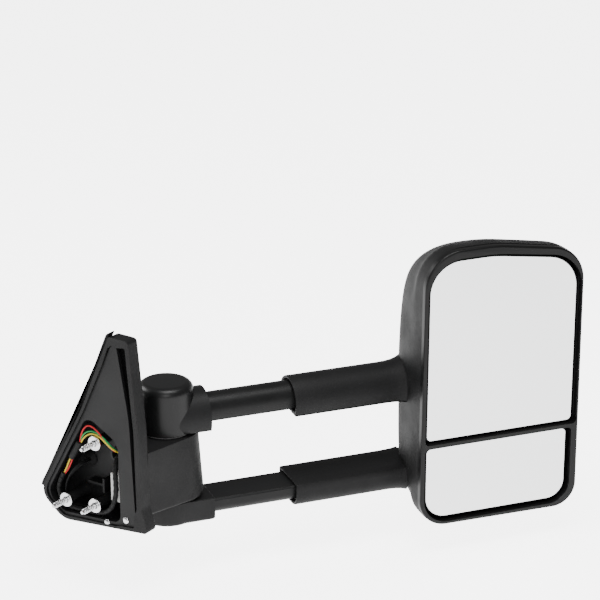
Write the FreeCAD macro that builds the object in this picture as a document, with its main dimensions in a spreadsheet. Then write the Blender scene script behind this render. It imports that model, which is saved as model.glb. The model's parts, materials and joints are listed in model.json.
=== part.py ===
import FreeCAD, Part
import math
import os

from FreeCAD import Placement, Rotation, Vector

# Towing mirror for the right-hand door of a truck, built as an assembly.
# Row frame: origin where the upper mounting stud leaves the mounting face,
# +X outboard (square to the mounting face), +Y to the vehicle's front, +Z up.
# Arm frame: origin on the fold pivot, +X along the arms, +Y to the mirror's front.

DIMENSIONS = {
    # fold pivot and the arms
    "pivot_x": 72.0, "pivot_y": -38.0, "arm_sweep": 34.0,
    "column_top_z": 0.0, "column_height": 70.0, "column_top_radius": 33.0, "column_foot_radius": 38.0,
    "web_root_x": 12.0, "web_rear_y": -61.0, "web_front_y": 2.0,
    "shaft_radius": 11.0, "shaft_bore": 8.0, "shaft_clearance": 0.06,
    "knuckle_bottom_z": 2.2, "knuckle_web": 9.0, "cap_radius": 29.0, "cap_height": 52.0, "cap_wall": 3.0,
    "cap_edge_round": 9.0, "lower_knuckle_top_z": -73.5, "lower_knuckle_height": 26.0,
    "lower_knuckle_radius": 30.0, "collar_end": 41.0,
    "collar_half": 26.5, "collar_top_z": 42.0, "spring_thickness": 1.4, "spring_cup": 1.3,
    "tube_start": 24.0, "tube_length": 201.0, "sleeve_start": 135.0, "sleeve_end": 330.0,
    "tube_wall": 3.0, "tube_low_z": 7.5, "tube_high_z": 34.5, "tube_half": 15.0,
    "bar_low_z": -96.5, "bar_high_z": -78.5, "bar_half": 21.0,
    "upper_sleeve_half": 22.5, "upper_sleeve_low_z": 2.0, "upper_sleeve_high_z": 39.0,
    "lower_sleeve_half": 27.0, "lower_sleeve_low_z": -103.0, "lower_sleeve_high_z": -75.0,
    "sleeve_wall": 3.2, "glide_length": 12.0, "wiper_length": 8.0, "wiper_recess": 4.0,
    # head
    "head_left_x": 258.0, "head_right_x": 445.0, "head_foot_z": -129.0, "head_top_z": 184.0,
    "shell_top_draft": 32.0, "shell_foot_draft": 12.0, "shell_side_draft": 14.0,
    "shell_front_y": 42.0, "shell_rear_y": -64.0, "shell_round": 27.0, "shell_wall": 3.5,
    "bezel_front_y": -72.0, "bezel_depth": 14.0, "bezel_edge_round": 2.5,
    "glass_y": -66.0, "glass_thickness": 2.2, "backing_thickness": 3.0, "frame_y": -27.5,
    "frame_thickness": 3.5, "main_x": 351.5, "main_z": 67.0, "lower_z": -79.5,
    "gimbal_y": -55.0, "gimbal_reach": 9.0, "trunnion_radius": 1.6,
    "actuator_radius": 37.0, "actuator_depth": 14.0, "plunger_reach": 26.0,
    # base
    "plate_thickness": 4.0, "sail_depth": 16.0, "sail_edge_round": 5.0, "recess_depth": 34.0,
    "tub_wall": 3.0, "post_radius": 5.6, "stud_radius": 3.0, "stud_length": 20.0, "stud_tip": 3.0,
    "stud_anchor": 16.0, "flange_radius": 8.0, "flange_thickness": 2.5, "seal_width": 4.0,
    "screw_radius": 2.0, "screw_head": 3.8,
}

doc = FreeCAD.newDocument("towing_mirror")
sheet = doc.addObject("Spreadsheet::Sheet", "dims")
for row, (alias, value) in enumerate(DIMENSIONS.items(), start=1):
    sheet.set("A%d" % row, alias)
    sheet.set("B%d" % row, str(value))
    sheet.setAlias("B%d" % row, alias)
doc.recompute()


def dim(alias):
    """The value of a driving dimension, read from the sheet."""
    return float(sheet.get(alias))


ARM = Placement(Vector(dim("pivot_x"), dim("pivot_y"), 0), Rotation(Vector(0, 0, 1), -dim("arm_sweep")))
ROW = Placement()
X_AXIS, Y_AXIS, Z_AXIS = Vector(1, 0, 0), Vector(0, 1, 0), Vector(0, 0, 1)
STUDS = [(0.0, 0.0), (41.0, -74.5), (2.0, -71.0)]
BRACKET_SCREWS = [(-15.0, -85.2), (-40.0, -76.0)]
GROMMET = (33.0, -37.0)
WIRE_PORT = (-20.0, -12.0)
nodes = []


# ---------------------------------------------------------------- outlines

def rounded(corners):
    """Segments of a closed outline whose corners (u, v, radius) are rounded by tangent arcs."""
    arcs = []
    count = len(corners)
    for index in range(count):
        here = Vector(*corners[index][:2], 0)
        back = (Vector(*corners[index - 1][:2], 0) - here).normalize()
        ahead = (Vector(*corners[(index + 1) % count][:2], 0) - here).normalize()
        radius = corners[index][2]
        half = back.getAngle(ahead) / 2
        reach = radius / math.tan(half)
        centre = here + (back + ahead).normalize() * (radius / math.sin(half))
        middle = centre + (here - centre).normalize() * radius
        arcs.append((here + back * reach, middle, here + ahead * reach))
    segments = []
    for index in range(count):
        start, middle, end = arcs[index]
        segments.append((start, middle, end))
        segments.append((end, arcs[(index + 1) % count][0]))
    return segments


def d_profile(half, low, high, grow=0.0, chamfer=1.5):
    """Round-topped section with a flat underside: half width at the flat, and its two heights."""
    side, base, top = half + grow, low - grow, high + grow
    left, right = Vector(-side, base + chamfer, 0), Vector(side, base + chamfer, 0)
    left_foot, right_foot = Vector(-side + chamfer, base, 0), Vector(side - chamfer, base, 0)
    return [(left_foot, right_foot), (right_foot, right), (right, Vector(0, top, 0), left), (left, left_foot)]


def boat_profile(half, low, high, grow=0.0, chamfer=2.0):
    """Flat-topped section whose sides turn under to a narrow flat keel."""
    side, base, top = half + grow, low - grow, high + grow
    keel = 0.42 * side
    waist = top - 0.42 * (top - base)
    bulge_y, bulge_z = keel + 0.77 * (side - keel), base + 0.30 * (waist - base)
    right = [Vector(side - chamfer, top, 0), Vector(side, top - chamfer, 0), Vector(side, waist, 0),
             Vector(bulge_y, bulge_z, 0), Vector(keel, base, 0)]
    left = [Vector(-point.x, point.y, 0) for point in right]
    return [(left[0], right[0]), (right[0], right[1]), (right[1], right[2]), (right[2], right[3], right[4]),
            (right[4], left[4]), (left[4], left[3], left[2]), (left[2], left[1]), (left[1], left[0])]


def edges_of(segments):
    """Part edges for segments of two points (a line) or three (an arc)."""
    edges = []
    for segment in segments:
        if len(segment) == 2:
            edges.append(Part.LineSegment(*segment))
        else:
            edges.append(Part.Arc(*segment))
    return edges


def tube_section(grow=0.0):
    return d_profile(dim("tube_half"), dim("tube_low_z"), dim("tube_high_z"), grow)


def bar_section(grow=0.0):
    return boat_profile(dim("bar_half"), dim("bar_low_z"), dim("bar_high_z"), grow)


def upper_sleeve_section(grow=0.0):
    return d_profile(dim("upper_sleeve_half"), dim("upper_sleeve_low_z"), dim("upper_sleeve_high_z"), grow)


def lower_sleeve_section(grow=0.0):
    return boat_profile(dim("lower_sleeve_half"), dim("lower_sleeve_low_z"), dim("lower_sleeve_high_z"), grow)


def head_outline(inset=0.0, draft=0.0):
    """Outline of the mirror head, seen along Y, drawn in by an inset and by a share of the front's drafts."""
    left, right = dim("head_left_x") + inset, dim("head_right_x") - inset - draft * dim("shell_side_draft")
    foot = dim("head_foot_z") + inset + draft * dim("shell_foot_draft")
    top = dim("head_top_z") - inset - draft * dim("shell_top_draft")
    return rounded([(left, foot + 1, 32 - inset), (right, foot - 1, 27 - inset),
                    (right - 1, top - 16, 42 - inset), (340, top, 150), (left + 2, top - 1, 42 - inset)])


def main_glass_outline(inset=0.0, bar_inset=None):
    """Outline of the main glass, seen along Y; the side at the bar may have an inset of its own."""
    foot_inset = inset if bar_inset is None else bar_inset
    left, right, foot, top = 266 + inset, 438.5 - inset, -31 + foot_inset, 171 - inset
    return rounded([(left, foot, 5), (right, foot, 5), (right, top - 14, 38 - inset), (340, top, 150),
                    (left + 1, top - 1, 36 - inset)])


def lower_glass_outline(inset=0.0, bar_inset=None):
    """Outline of the wide-angle glass below the bar."""
    top_inset = inset if bar_inset is None else bar_inset
    left, right, foot, top = 266 + inset, 433 - inset, -121 + inset, -38 - top_inset
    return rounded([(left, foot, 25 - inset), (right, foot, 21 - inset), (right, top, 5), (left, top, 5)])


def sail_outline():
    """Outline of the door-side sail, in Y and Z of the row frame."""
    return rounded([(-25, 124, 4), (15, 33, 150), (74, -72, 16), (44, -96, 25), (-70, -83, 4), (-62, -58, 20),
                    (-60, 26, 300), (-50, 124, 5)])


def plate_outline():
    return rounded([(-28, 117, 3), (11.5, 33, 150), (69, -71, 15), (43, -92, 22),
                    (-53, -81, 4), (-51, -40, 200), (-47, 39, 200), (-34, 112, 3)])


def recess_outline(inset=0.0):
    return rounded([(8.5, 29 - inset, 12), (66 - inset, -72, 13), (43, -88 + inset, 10),
                    (-33 + inset, -81 + inset, 10), (-32 + inset, 8, 18)])


# ---------------------------------------------------------------- feature helpers

def new_body(label, place=ROW):
    body = doc.addObject("PartDesign::Body", label)
    body.Label = label
    body.Placement = place
    nodes.append(body)
    return body


def new_sketch(body, role, segments, offset=0.0, circles=()):
    """Sketch on one of the body's origin planes, moved along that plane's normal."""
    plane = [item for item in body.Origin.OriginFeatures if item.Role == role][0]
    sketch = body.newObject("Sketcher::SketchObject", body.Label + "_sketch")
    sketch.AttachmentSupport = [(plane, "")]
    sketch.MapMode = "FlatFace"
    sketch.AttachmentOffset = Placement(Vector(0, 0, offset), Rotation())
    for edge in edges_of(segments):
        sketch.addGeometry(edge, False)
    for u, v, radius in circles:
        sketch.addGeometry(Part.Circle(Vector(u, v, 0), Z_AXIS, radius), False)
    return sketch


def extrude(body, kind, sketch, length, opposite=False):
    """Pad or pocket whose length is a sheet expression."""
    feature = body.newObject("PartDesign::" + kind, body.Label + "_" + kind.lower())
    feature.Profile = sketch
    feature.setExpression("Length", length)
    feature.Reversed = opposite
    doc.recompute()
    return feature


def turned(label, points, place=ROW, axis="V_Axis", role="XZ_Plane"):
    """Revolved body: points are (radius, height) about the sketch's vertical axis."""
    body = new_body(label, place)
    corners = [Vector(radius, height, 0) for radius, height in points]
    segments = [(corners[i], corners[(i + 1) % len(corners)]) for i in range(len(corners))]
    sketch = new_sketch(body, role, segments)
    feature = body.newObject("PartDesign::Revolution", label + "_revolution")
    feature.Profile = sketch
    feature.ReferenceAxis = (sketch, [axis])
    feature.Angle = 360
    doc.recompute()
    return body


def axial_place(point, direction, frame=ROW):
    """Placement that carries +Z onto a direction at a point of a frame."""
    return frame.multiply(Placement(point, Rotation(Z_AXIS, direction)))


def shaped(label, shape, place=ROW):
    """Sub-part whose shape comes from Part functions."""
    item = doc.addObject("Part::Feature", label)
    item.Label = label
    item.Shape = shape
    item.Placement = place
    nodes.append(item)
    return item


def prism(segments, plane, start, length):
    """Solid swept from a planar outline: plane 'X' draws in Y and Z, plane 'Y' draws in X and Z."""
    flat = Part.Wire([edge.toShape() for edge in edges_of(segments)])
    turn = Rotation(X_AXIS, Y_AXIS, Z_AXIS, "XYZ")
    if plane == "X":
        turn = Rotation(Y_AXIS, Z_AXIS, X_AXIS, "XYZ")
        flat.Placement = Placement(Vector(start, 0, 0), turn)
        return Part.Face(flat).extrude(Vector(length, 0, 0))
    turn = Rotation(X_AXIS, Z_AXIS, Vector(0, -1, 0), "XYZ")
    flat.Placement = Placement(Vector(0, start, 0), turn)
    return Part.Face(flat).extrude(Vector(0, length, 0))


def section_wire(segments, x):
    wire = Part.Wire([edge.toShape() for edge in edges_of(segments)])
    wire.Placement = Placement(Vector(x, 0, 0), Rotation(Y_AXIS, Z_AXIS, X_AXIS, "XYZ"))
    return wire


def bar_of(radius, length, point, direction=Z_AXIS):
    return Part.makeCylinder(radius, length, point, direction)


def block(low, high):
    return Part.makeBox(high[0] - low[0], high[1] - low[1], high[2] - low[2], Vector(*low))


def screw(point, direction, head_radius, head_height, radius, length):
    """Pan-head screw: the head stands on the point, the shank runs along the direction."""
    head = bar_of(head_radius, head_height, point - direction * head_height, direction)
    rim = [edge for edge in head.Edges
           if abs(edge.CenterOfMass.sub(point).dot(direction) + head_height) < 0.01]
    head = head.makeFillet(head_height * 0.4, rim)
    slot = bar_of(head_radius * 0.42, head_height * 0.5, point - direction * head_height, direction)
    return head.cut(slot).fuse(bar_of(radius, length, point, direction))


def cord_tube(label, points, diameter):
    """Tube along straight runs that are joined by tangent arcs."""
    route = [Vector(*point) for point in points]
    edges = []
    last = route[0]
    radii = []
    for before, here, after in zip(route, route[1:], route[2:]):
        back, ahead = (before - here), (after - here)
        shorter = min(back.Length, ahead.Length)
        back.normalize()
        ahead.normalize()
        half_turn = (math.pi - back.getAngle(ahead)) / 2
        radius = 0.45 * shorter / math.tan(half_turn)
        radii.append(radius)
        reach = 0.45 * shorter
        start, end = here + back * reach, here + ahead * reach
        centre = here + (back + ahead).normalize() * (radius / math.cos(half_turn))
        middle = centre + (here - centre).normalize() * radius
        edges.append(Part.LineSegment(last, start).toShape())
        edges.append(Part.Arc(start, middle, end).toShape())
        last = end
    edges.append(Part.LineSegment(last, route[-1]).toShape())
    path = Part.Wire(edges)
    ring = Part.Wire([Part.Circle(route[0], route[1] - route[0], diameter / 2).toShape()])
    tube = path.makePipeShell([ring], True, True)
    expected = math.pi * diameter ** 2 / 4 * path.Length
    print("%s: length %.1f, least radius %.1f, volume ratio %.3f"
          % (label, path.Length, min(radii), tube.Volume / expected))
    return tube


# ---------------------------------------------------------------- base, fixed to the door

def column_section(radius, z):
    """Column outline: round about the pivot, with tangent sides back to the sail."""
    pivot = Vector(dim("pivot_x"), dim("pivot_y"), z)
    root_x = dim("web_root_x")
    roots = [Vector(root_x, dim("web_rear_y"), z), Vector(root_x, dim("web_front_y"), z)]
    tangents = []
    for root, side in zip(roots, (1, -1)):
        reach = root - pivot
        swing = side * math.degrees(math.acos(radius / reach.Length))
        tangents.append(pivot + Rotation(Z_AXIS, swing).multVec(reach.normalize()) * radius)
    outline = [(roots[0], tangents[0]), (tangents[0], pivot + X_AXIS * radius, tangents[1]),
               (tangents[1], roots[1]), (roots[1], roots[0])]
    return Part.Wire([edge.toShape() for edge in edges_of(outline)])


def build_base_housing():
    """Outer moulding: sail, bulge behind the recess, and the column that carries the fold pivot."""
    px, py = dim("pivot_x"), dim("pivot_y")
    foot_z = dim("column_top_z") - dim("column_height")
    sail = prism(sail_outline(), "X", -2.0, dim("sail_depth") + 2.0)
    outer_rim = [edge for edge in sail.Edges if edge.BoundBox.XMin > dim("sail_depth") - 0.01]
    sail = sail.makeFillet(dim("sail_edge_round"), outer_rim)
    bulge = prism(recess_outline(-6.0), "X", 10.0, dim("recess_depth") - 3.0)
    bulge_rim = [edge for edge in bulge.Edges if edge.BoundBox.XMin > dim("recess_depth") + 6.9]
    bulge = bulge.makeFillet(6.0, bulge_rim)
    column = Part.makeLoft([column_section(dim("column_foot_radius"), foot_z),
                            column_section(dim("column_top_radius"), dim("column_top_z"))], True, True)
    root_x = dim("web_root_x") + 1
    low_rim = [edge for edge in column.Edges
               if edge.BoundBox.ZMax < foot_z + 0.01 and edge.BoundBox.XMax > root_x]
    column = column.makeFillet(3.0, low_rim)
    solid = sail.fuse(bulge).fuse(column)
    tub_reach = dim("recess_depth") + dim("tub_wall")
    cavity = prism(recess_outline(-dim("tub_wall") - 0.4), "X", -3.0, tub_reach + 3.4)
    channel = prism(plate_outline(), "X", -3.0, 3.0 + dim("plate_thickness") + 0.2)
    rim_gap = prism(rounded([(-24, 112, 2), (4, 40, 20), (4, -60, 20), (-46, -76, 6), (-56, -60, 6),
                             (-54.5, 26, 200), (-46, 116, 2)]), "X", -3.0, 13.0)
    bore = bar_of(dim("shaft_radius") + dim("shaft_clearance"), 200, Vector(px, py, -120))
    passage = bar_of(6.0, 45.0, Vector(dim("recess_depth") - 2, -20, -12),
                     Vector(px - dim("recess_depth"), py + 20, 0))
    grommet_room = bar_of(9.0, 2.0, Vector(dim("recess_depth") + dim("tub_wall"), *GROMMET), X_AXIS)
    solid = solid.cut(cavity).cut(channel).cut(rim_gap).cut(bore).cut(passage).cut(grommet_room)
    shaped("base_housing", solid.removeSplitter())


def build_base_bracket():
    """Inner plate with its tub, the three stud posts and the wire boss."""
    depth, wall = dim("recess_depth"), dim("tub_wall")
    plate = prism(plate_outline(), "X", 0.0, dim("plate_thickness"))
    tub = prism(recess_outline(-wall), "X", 0.0, depth + wall)
    hollow = prism(recess_outline(), "X", -1.0, depth + 1.0)
    solid = plate.fuse(tub).cut(hollow)
    for y, z in STUDS:
        post_length = depth - dim("flange_thickness") + 1.0
        post = bar_of(dim("post_radius"), post_length, Vector(dim("flange_thickness"), y, z), X_AXIS)
        foot = Part.makeCone(dim("post_radius"), dim("post_radius") + 3, 10, Vector(depth - 9, y, z), X_AXIS)
        socket = bar_of(dim("stud_radius") + 0.5, dim("stud_anchor"), Vector(0, y, z), X_AXIS)
        solid = solid.fuse(post).fuse(foot.common(tub)).cut(socket)
    grommet_hole = bar_of(6.0, 20.0, Vector(depth - 5, *GROMMET), X_AXIS)
    wire_hole = bar_of(6.0, 20.0, Vector(depth - 5, *WIRE_PORT), X_AXIS)
    boss = bar_of(8.5, depth + 1.0 - 12.0, Vector(12.0, *WIRE_PORT), X_AXIS)
    boss = boss.cut(bar_of(6.0, depth, Vector(10.0, *WIRE_PORT), X_AXIS)).common(tub)
    solid = solid.fuse(boss).cut(grommet_hole).cut(wire_hole)
    rib = block((depth - 12, 6, -66), (depth + 1, 8.5, -50))
    shelf = block((depth - 10, 8.4, -60), (depth + 1, 30, -57.5))
    solid = solid.fuse(rib).fuse(shelf)
    for y, z in BRACKET_SCREWS:
        solid = solid.cut(bar_of(dim("screw_head") + 0.3, 3.0, Vector(-1.0, y, z), X_AXIS))
    shaped("base_bracket", solid.removeSplitter())


def build_studs():
    """Three steel studs: knurled anchor, threaded shank and a dog point, with a flange disc each."""
    shank = dim("stud_length") - dim("stud_tip")
    studs, discs = [], []
    for y, z in STUDS:
        stud = bar_of(dim("stud_radius"), shank, Vector(0, y, z), Vector(-1, 0, 0))
        anchor = bar_of(dim("stud_radius") + 0.5, dim("stud_anchor"), Vector(0, y, z), X_AXIS)
        tip = Part.makeCone(dim("stud_radius") - 0.6, dim("stud_radius") - 1.1, dim("stud_tip"),
                            Vector(-shank, y, z), Vector(-1, 0, 0))
        studs.append(stud.fuse(anchor).fuse(tip))
        disc = bar_of(dim("flange_radius"), dim("flange_thickness"), Vector(0, y, z), X_AXIS)
        disc = disc.makeChamfer(0.5, [edge for edge in disc.Edges if edge.BoundBox.XMax < 0.01])
        discs.append(disc.cut(bar_of(dim("stud_radius") + 0.5, 9, Vector(-1, y, z), X_AXIS)))
    shaped("mounting_studs", Part.makeCompound(studs))
    shaped("stud_flanges", Part.makeCompound(discs))


def build_base_trim():
    """Pillar seal, bracket screws and the wire grommet."""
    grown = Part.Face(Part.Wire([edge.toShape() for edge in edges_of(sail_outline())]))
    band = grown.makeOffset2D(dim("seal_width")).cut(grown)
    band.Placement = Placement(Vector(-1.0, 0, 0), Rotation(Y_AXIS, Z_AXIS, X_AXIS, "XYZ"))
    seal = band.extrude(Vector(9.0, 0, 0))
    keep = prism(rounded([(-22, 119, 0.5), (-36, 150, 0.5), (60, 150, 0.5), (110, -60, 0.5), (66, -66, 0.5)]),
                 "X", -5.0, 20.0)
    shaped("pillar_seal", seal.common(keep))
    screws = []
    for y, z in BRACKET_SCREWS:
        screws.append(screw(Vector(2.0, y, z), X_AXIS, dim("screw_head"), 1.8, dim("screw_radius"), 1.9))
    shaped("bracket_screws", Part.makeCompound(screws))
    profile = [(2.5, -4.0), (5.0, -4.0), (8.5, -1.2), (8.5, 0.0), (5.9, 0.0), (5.9, 3.0),
               (7.0, 3.0), (7.0, 4.0), (2.5, 4.0)]
    turned("wire_grommet", profile, axial_place(Vector(dim("recess_depth"), *GROMMET), X_AXIS))


HARNESS = {
    "harness_sheath": (5.0, [
        (27, -20, -12), (18, -20, -12.2), (9.6, -21.2, -16), (3.8, -24, -27), (3.1, -25, -36),
        (3.1, -25.5, -45), (3.1, -24.5, -54), (3.4, -21, -65), (4.2, -14, -74), (5, -4, -79.4),
        (5.6, 8, -81.5), (6, 20, -82.8), (6, 32, -83.6), (6, 42.6, -83.4), (6, 50, -79), (6, 55.5, -69),
        (6, 53.2, -57.5), (5.5, 47.4, -47.5)]),
    "red_wire": (1.7, [
        (13, -17, -9), (6, -14.5, -2), (3, -10.5, 7), (2.2, -4, 13.8), (2, 3, 17.8), (2, 9.6, 17.6),
        (2.6, 15, 12.4), (3.4, 19.4, 5), (4, 22, -5)]),
    "green_wire": (1.7, [
        (13, -20.5, -8), (6, -17.8, -1), (3, -12.6, 7), (3, -6, 10.6), (3, 2, 12.2), (3, 9, 10.9),
        (3.4, 15.2, 6.6), (4, 19.6, 0.6), (4.6, 22.6, -5.4)]),
    "yellow_wire": (1.7, [
        (14, -22.5, -10), (6, -20.2, -4), (3.2, -14.4, 2.2), (3, -7.6, 7.1), (3, 0, 9.6), (3, 8, 8),
        (3.4, 14, 3.6), (4, 18.6, -1.6), (5, 21.6, -6.4)]),
    "yellow_tail": (1.7, [
        (3.8, 34.8, -25), (4.4, 38.4, -31.5), (5, 42, -39), (5.4, 46, -46.4)]),
    "red_tail": (1.7, [
        (4.6, 32.8, -26), (5, 36.2, -33), (5.4, 40.2, -40.5), (5.6, 45, -47)]),
    "mirror_lead": (2.4, [
        (37, 33, -38.25), (24, 33, -38.25), (17, 36.5, -41.5), (14, 43, -49), (13, 48, -58),
        (13, 51.5, -67), (13.5, 50.8, -76), (14, 45, -83.2), (14, 36, -84), (14, 24, -82.8)]),
    "motor_lead": (2.4, [
        (37, 33, -35.75), (25, 33, -35.75), (15, 35.6, -38.4), (11.5, 40.5, -45), (10.8, 46, -54.5),
        (10.8, 49.2, -64), (11, 49.4, -72), (11, 47, -80.5), (11, 40, -83), (11, 30, -82.2),
        (11, 20, -80.8)]),
}


def build_harness():
    """Wiring that is tucked into the recess: taped sheath, coloured wires, splice sleeve and connector."""
    for label, (diameter, points) in HARNESS.items():
        shaped(label, cord_tube(label, points, diameter))
    start, end = Vector(4.3, 22.2, -4.5), Vector(4.3, 34.4, -26.0)
    sleeve = bar_of(3.6, (end - start).Length, start, end - start)
    sleeve = sleeve.makeFillet(1.2, [sleeve.Edges[0], sleeve.Edges[2]])
    shaped("splice_sleeve", sleeve)
    plug = block((6.2, -30.0, -62.0), (17.0, -15.5, -31.0))
    plug = plug.makeFillet(1.0, plug.Edges)
    keyway = block((5.0, -24.5, -63.0), (8.0, -21.0, -30.0))
    cavities = [block((10.5, y, -64.0), (14.5, y + 3.4, -54.0)) for y in (-28.5, -24.2, -19.9)]
    shaped("connector", plug.cut(keyway).cut(Part.makeCompound(cavities)))


# ---------------------------------------------------------------- arms, folding on the base

def collar_section(grow=0.0):
    return d_profile(dim("collar_half"), dim("knuckle_bottom_z"), dim("collar_top_z"), grow, 1.2)


def build_knuckles():
    """Upper and lower arm knuckles: a hub on the pivot and a collar for the arm."""
    low = dim("knuckle_bottom_z")
    end = dim("collar_end")
    bore = bar_of(dim("shaft_radius"), 300, Vector(0, 0, -150))
    room = dim("cap_radius") - dim("cap_wall") - 0.2
    web = bar_of(room, dim("knuckle_web"), Vector(0, 0, low))
    collar = prism(collar_section(), "X", 0.0, end)
    collar = collar.cut(bar_of(room, 60, Vector(0, 0, low + dim("knuckle_web"))))
    hub = bar_of(17.0, 14.0, Vector(0, 0, low))
    upper = web.fuse(collar).fuse(hub).cut(bore)
    upper = upper.cut(prism(tube_section(0.05), "X", dim("tube_start"), 40))
    shaped("upper_knuckle", upper.removeSplitter(), ARM)

    top, height = dim("lower_knuckle_top_z"), dim("lower_knuckle_height")
    eye = bar_of(dim("lower_knuckle_radius"), height, Vector(0, 0, top - height))
    arm = block((0, -28.0, top - height), (end + 2, 28.0, top))
    lower = eye.fuse(arm).removeSplitter()
    low_edges = [edge for edge in lower.Edges if edge.BoundBox.ZMax < top - height + 0.01]
    lower = lower.makeFillet(5.0, low_edges)
    high_edges = [edge for edge in lower.Edges if edge.BoundBox.ZMin > top - 0.01]
    lower = lower.makeFillet(1.2, high_edges)
    lower = lower.cut(bore).cut(prism(bar_section(0.05), "X", dim("tube_start"), 40))
    shaped("lower_knuckle", lower, ARM)


def build_cap():
    """Domed cap over the pivot: a cup with a rounded top edge, cut away where the collar passes."""
    radius, wall = dim("cap_radius"), dim("cap_wall")
    base = dim("knuckle_bottom_z") + 0.3
    top = base + dim("cap_height")
    outer = bar_of(radius, top - base, Vector(0, 0, base))
    outer_top = [edge for edge in outer.Edges if edge.BoundBox.ZMin > top - 0.01]
    outer = outer.makeFillet(dim("cap_edge_round"), outer_top)
    inner = bar_of(radius - wall, top - base, Vector(0, 0, base - wall))
    inner_top = [edge for edge in inner.Edges if edge.BoundBox.ZMin > top - wall - 0.01]
    inner = inner.makeFillet(dim("cap_edge_round") - wall, inner_top)
    shaped("pivot_cap", outer.cut(inner).cut(prism(collar_section(0.1), "X", 0.0, 60)), ARM)


def arm_profile(label, section, inner):
    """Hollow arm: a pad of its section along X with its core pocketed out."""
    body = new_body(label, ARM)
    extrude(body, "Pad", new_sketch(body, "YZ_Plane", section, dim("tube_start")), "dims.tube_length")
    extrude(body, "Pocket", new_sketch(body, "YZ_Plane", inner, dim("tube_start")), "dims.tube_length", True)
    return body


def build_arms():
    arm_profile("upper_tube", tube_section(), tube_section(-dim("tube_wall")))
    arm_profile("lower_bar", bar_section(), bar_section(-dim("tube_wall")))
    glide = dim("glide_length")
    tip = dim("tube_start") + dim("tube_length") - glide
    slack = 0.35
    upper = prism(upper_sleeve_section(-dim("sleeve_wall") - slack), "X", tip, glide)
    shaped("upper_glide", upper.cut(prism(tube_section(), "X", tip - 1, glide + 2)), ARM)
    lower = prism(lower_sleeve_section(-dim("sleeve_wall") - slack), "X", tip, glide)
    shaped("lower_glide", lower.cut(prism(bar_section(), "X", tip - 1, glide + 2)), ARM)
    screws = []
    for x in (30.0, 37.0):
        screws.append(screw(Vector(x, 0, dim("knuckle_bottom_z")), Z_AXIS, 3.2, 1.6, 1.8, 7.0))
    for x in (30.0, 37.0):
        foot = dim("lower_knuckle_top_z") - dim("lower_knuckle_height")
        screws.append(screw(Vector(x, 0, foot), Z_AXIS, 3.6, 2.2, 1.8, 5.0))
    shaped("arm_screws", Part.makeCompound(screws), ARM)


def disc_spring(low, index):
    """One cupped spring of a stack on the pivot; every second one is turned over."""
    inner, outer = dim("shaft_radius") + 0.3, 17.0
    thick, cup = dim("spring_thickness"), dim("spring_cup")
    base = low + index * (thick + cup)
    inner_low, outer_low = (base, base + cup) if index % 2 else (base + cup, base)
    corners = [Vector(inner, 0, inner_low), Vector(outer, 0, outer_low), Vector(outer, 0, outer_low + thick),
               Vector(inner, 0, inner_low + thick)]
    section = Part.Face(Part.makePolygon(corners + corners[:1]))
    return section.revolve(Vector(), Z_AXIS, 360)


def build_pivot():
    """Hollow shaft, friction washers, disc springs, spring seat and nut."""
    shaft, bore = dim("shaft_radius"), dim("shaft_bore")
    foot = dim("lower_knuckle_top_z") - dim("lower_knuckle_height")
    crown = dim("knuckle_bottom_z") + 44.0
    turned("pivot_shaft", [(bore, foot - 2), (shaft + 6, foot - 2), (shaft + 6, foot), (shaft, foot),
                           (shaft, crown), (bore, crown)], ARM)
    low = dim("knuckle_bottom_z")
    top_z, knuckle_z = dim("column_top_z"), dim("lower_knuckle_top_z")
    turned("upper_washer", [(shaft + 0.3, top_z + 0.1), (26, top_z + 0.1), (26, low), (shaft + 0.3, low)],
           ARM)
    column_foot = top_z - dim("column_height")
    turned("lower_washer", [(shaft + 0.3, knuckle_z), (26, knuckle_z), (26, column_foot - 0.1),
                            (shaft + 0.3, column_foot - 0.1)], ARM)
    seat_z = low + 14.0
    spring_top = seat_z + 8 * (dim("spring_thickness") + dim("spring_cup"))
    shaped("pivot_spring", Part.makeCompound([disc_spring(seat_z, index) for index in range(8)]), ARM)
    nut_low = spring_top + 2.0
    turned("spring_seat", [(shaft + 0.1, spring_top), (17.5, spring_top), (17.5, nut_low),
                           (shaft + 0.1, nut_low)], ARM)
    corners = [Rotation(Z_AXIS, 60 * index).multVec(X_AXIS * 17.0) for index in range(6)]
    flats = rounded([(corner.x, corner.y, 0.6) for corner in corners])
    nut = Part.Face(Part.Wire([edge.toShape() for edge in edges_of(flats)])).extrude(Vector(0, 0, 5.0))
    nut.translate(Vector(0, 0, nut_low))
    shaped("pivot_nut", nut.cut(bar_of(shaft, 400, Vector(0, 0, -200))), ARM)


# ---------------------------------------------------------------- head, sliding on the arms

def flare(section):
    """Smooth flare where a sleeve runs into the shell."""
    stations = ((236.0, 0.05), (246.0, 1.0), (254.0, 4.0), (262.0, 10.0))
    wires = [section_wire(section(grow), x) for x, grow in stations]
    return Part.makeLoft(wires, True, False)


def shell_solid(inset):
    """Solid of the head: straight at the bezel, drafted to a rounded front."""
    rear, front = dim("shell_rear_y"), dim("shell_front_y") - inset
    turn = dim("shell_round") - inset
    straight_end, round_start = dim("bezel_front_y") + dim("bezel_depth") + 5, front - turn
    stations = [(rear - (inset and 5), inset, 0.0), (straight_end, inset, 0.0)]
    for step in range(1, 4):
        share = step / 3
        stations.append((straight_end + (round_start - straight_end) * share, inset, 0.8 * share))
    for degrees in (25, 50, 72):
        angle = math.radians(degrees)
        drawn_in = turn * (1 - math.cos(angle))
        stations.append((round_start + turn * math.sin(angle), inset + drawn_in, 0.8 + degrees / 360))
    wires = []
    for y, drawn_in, draft in stations:
        wire = Part.Wire([edge.toShape() for edge in edges_of(head_outline(drawn_in, draft))])
        wire.Placement = Placement(Vector(0, y, 0), Rotation(X_AXIS, Z_AXIS, Vector(0, -1, 0), "XYZ"))
        wires.append(wire)
    return Part.makeLoft(wires, True, True)


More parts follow.
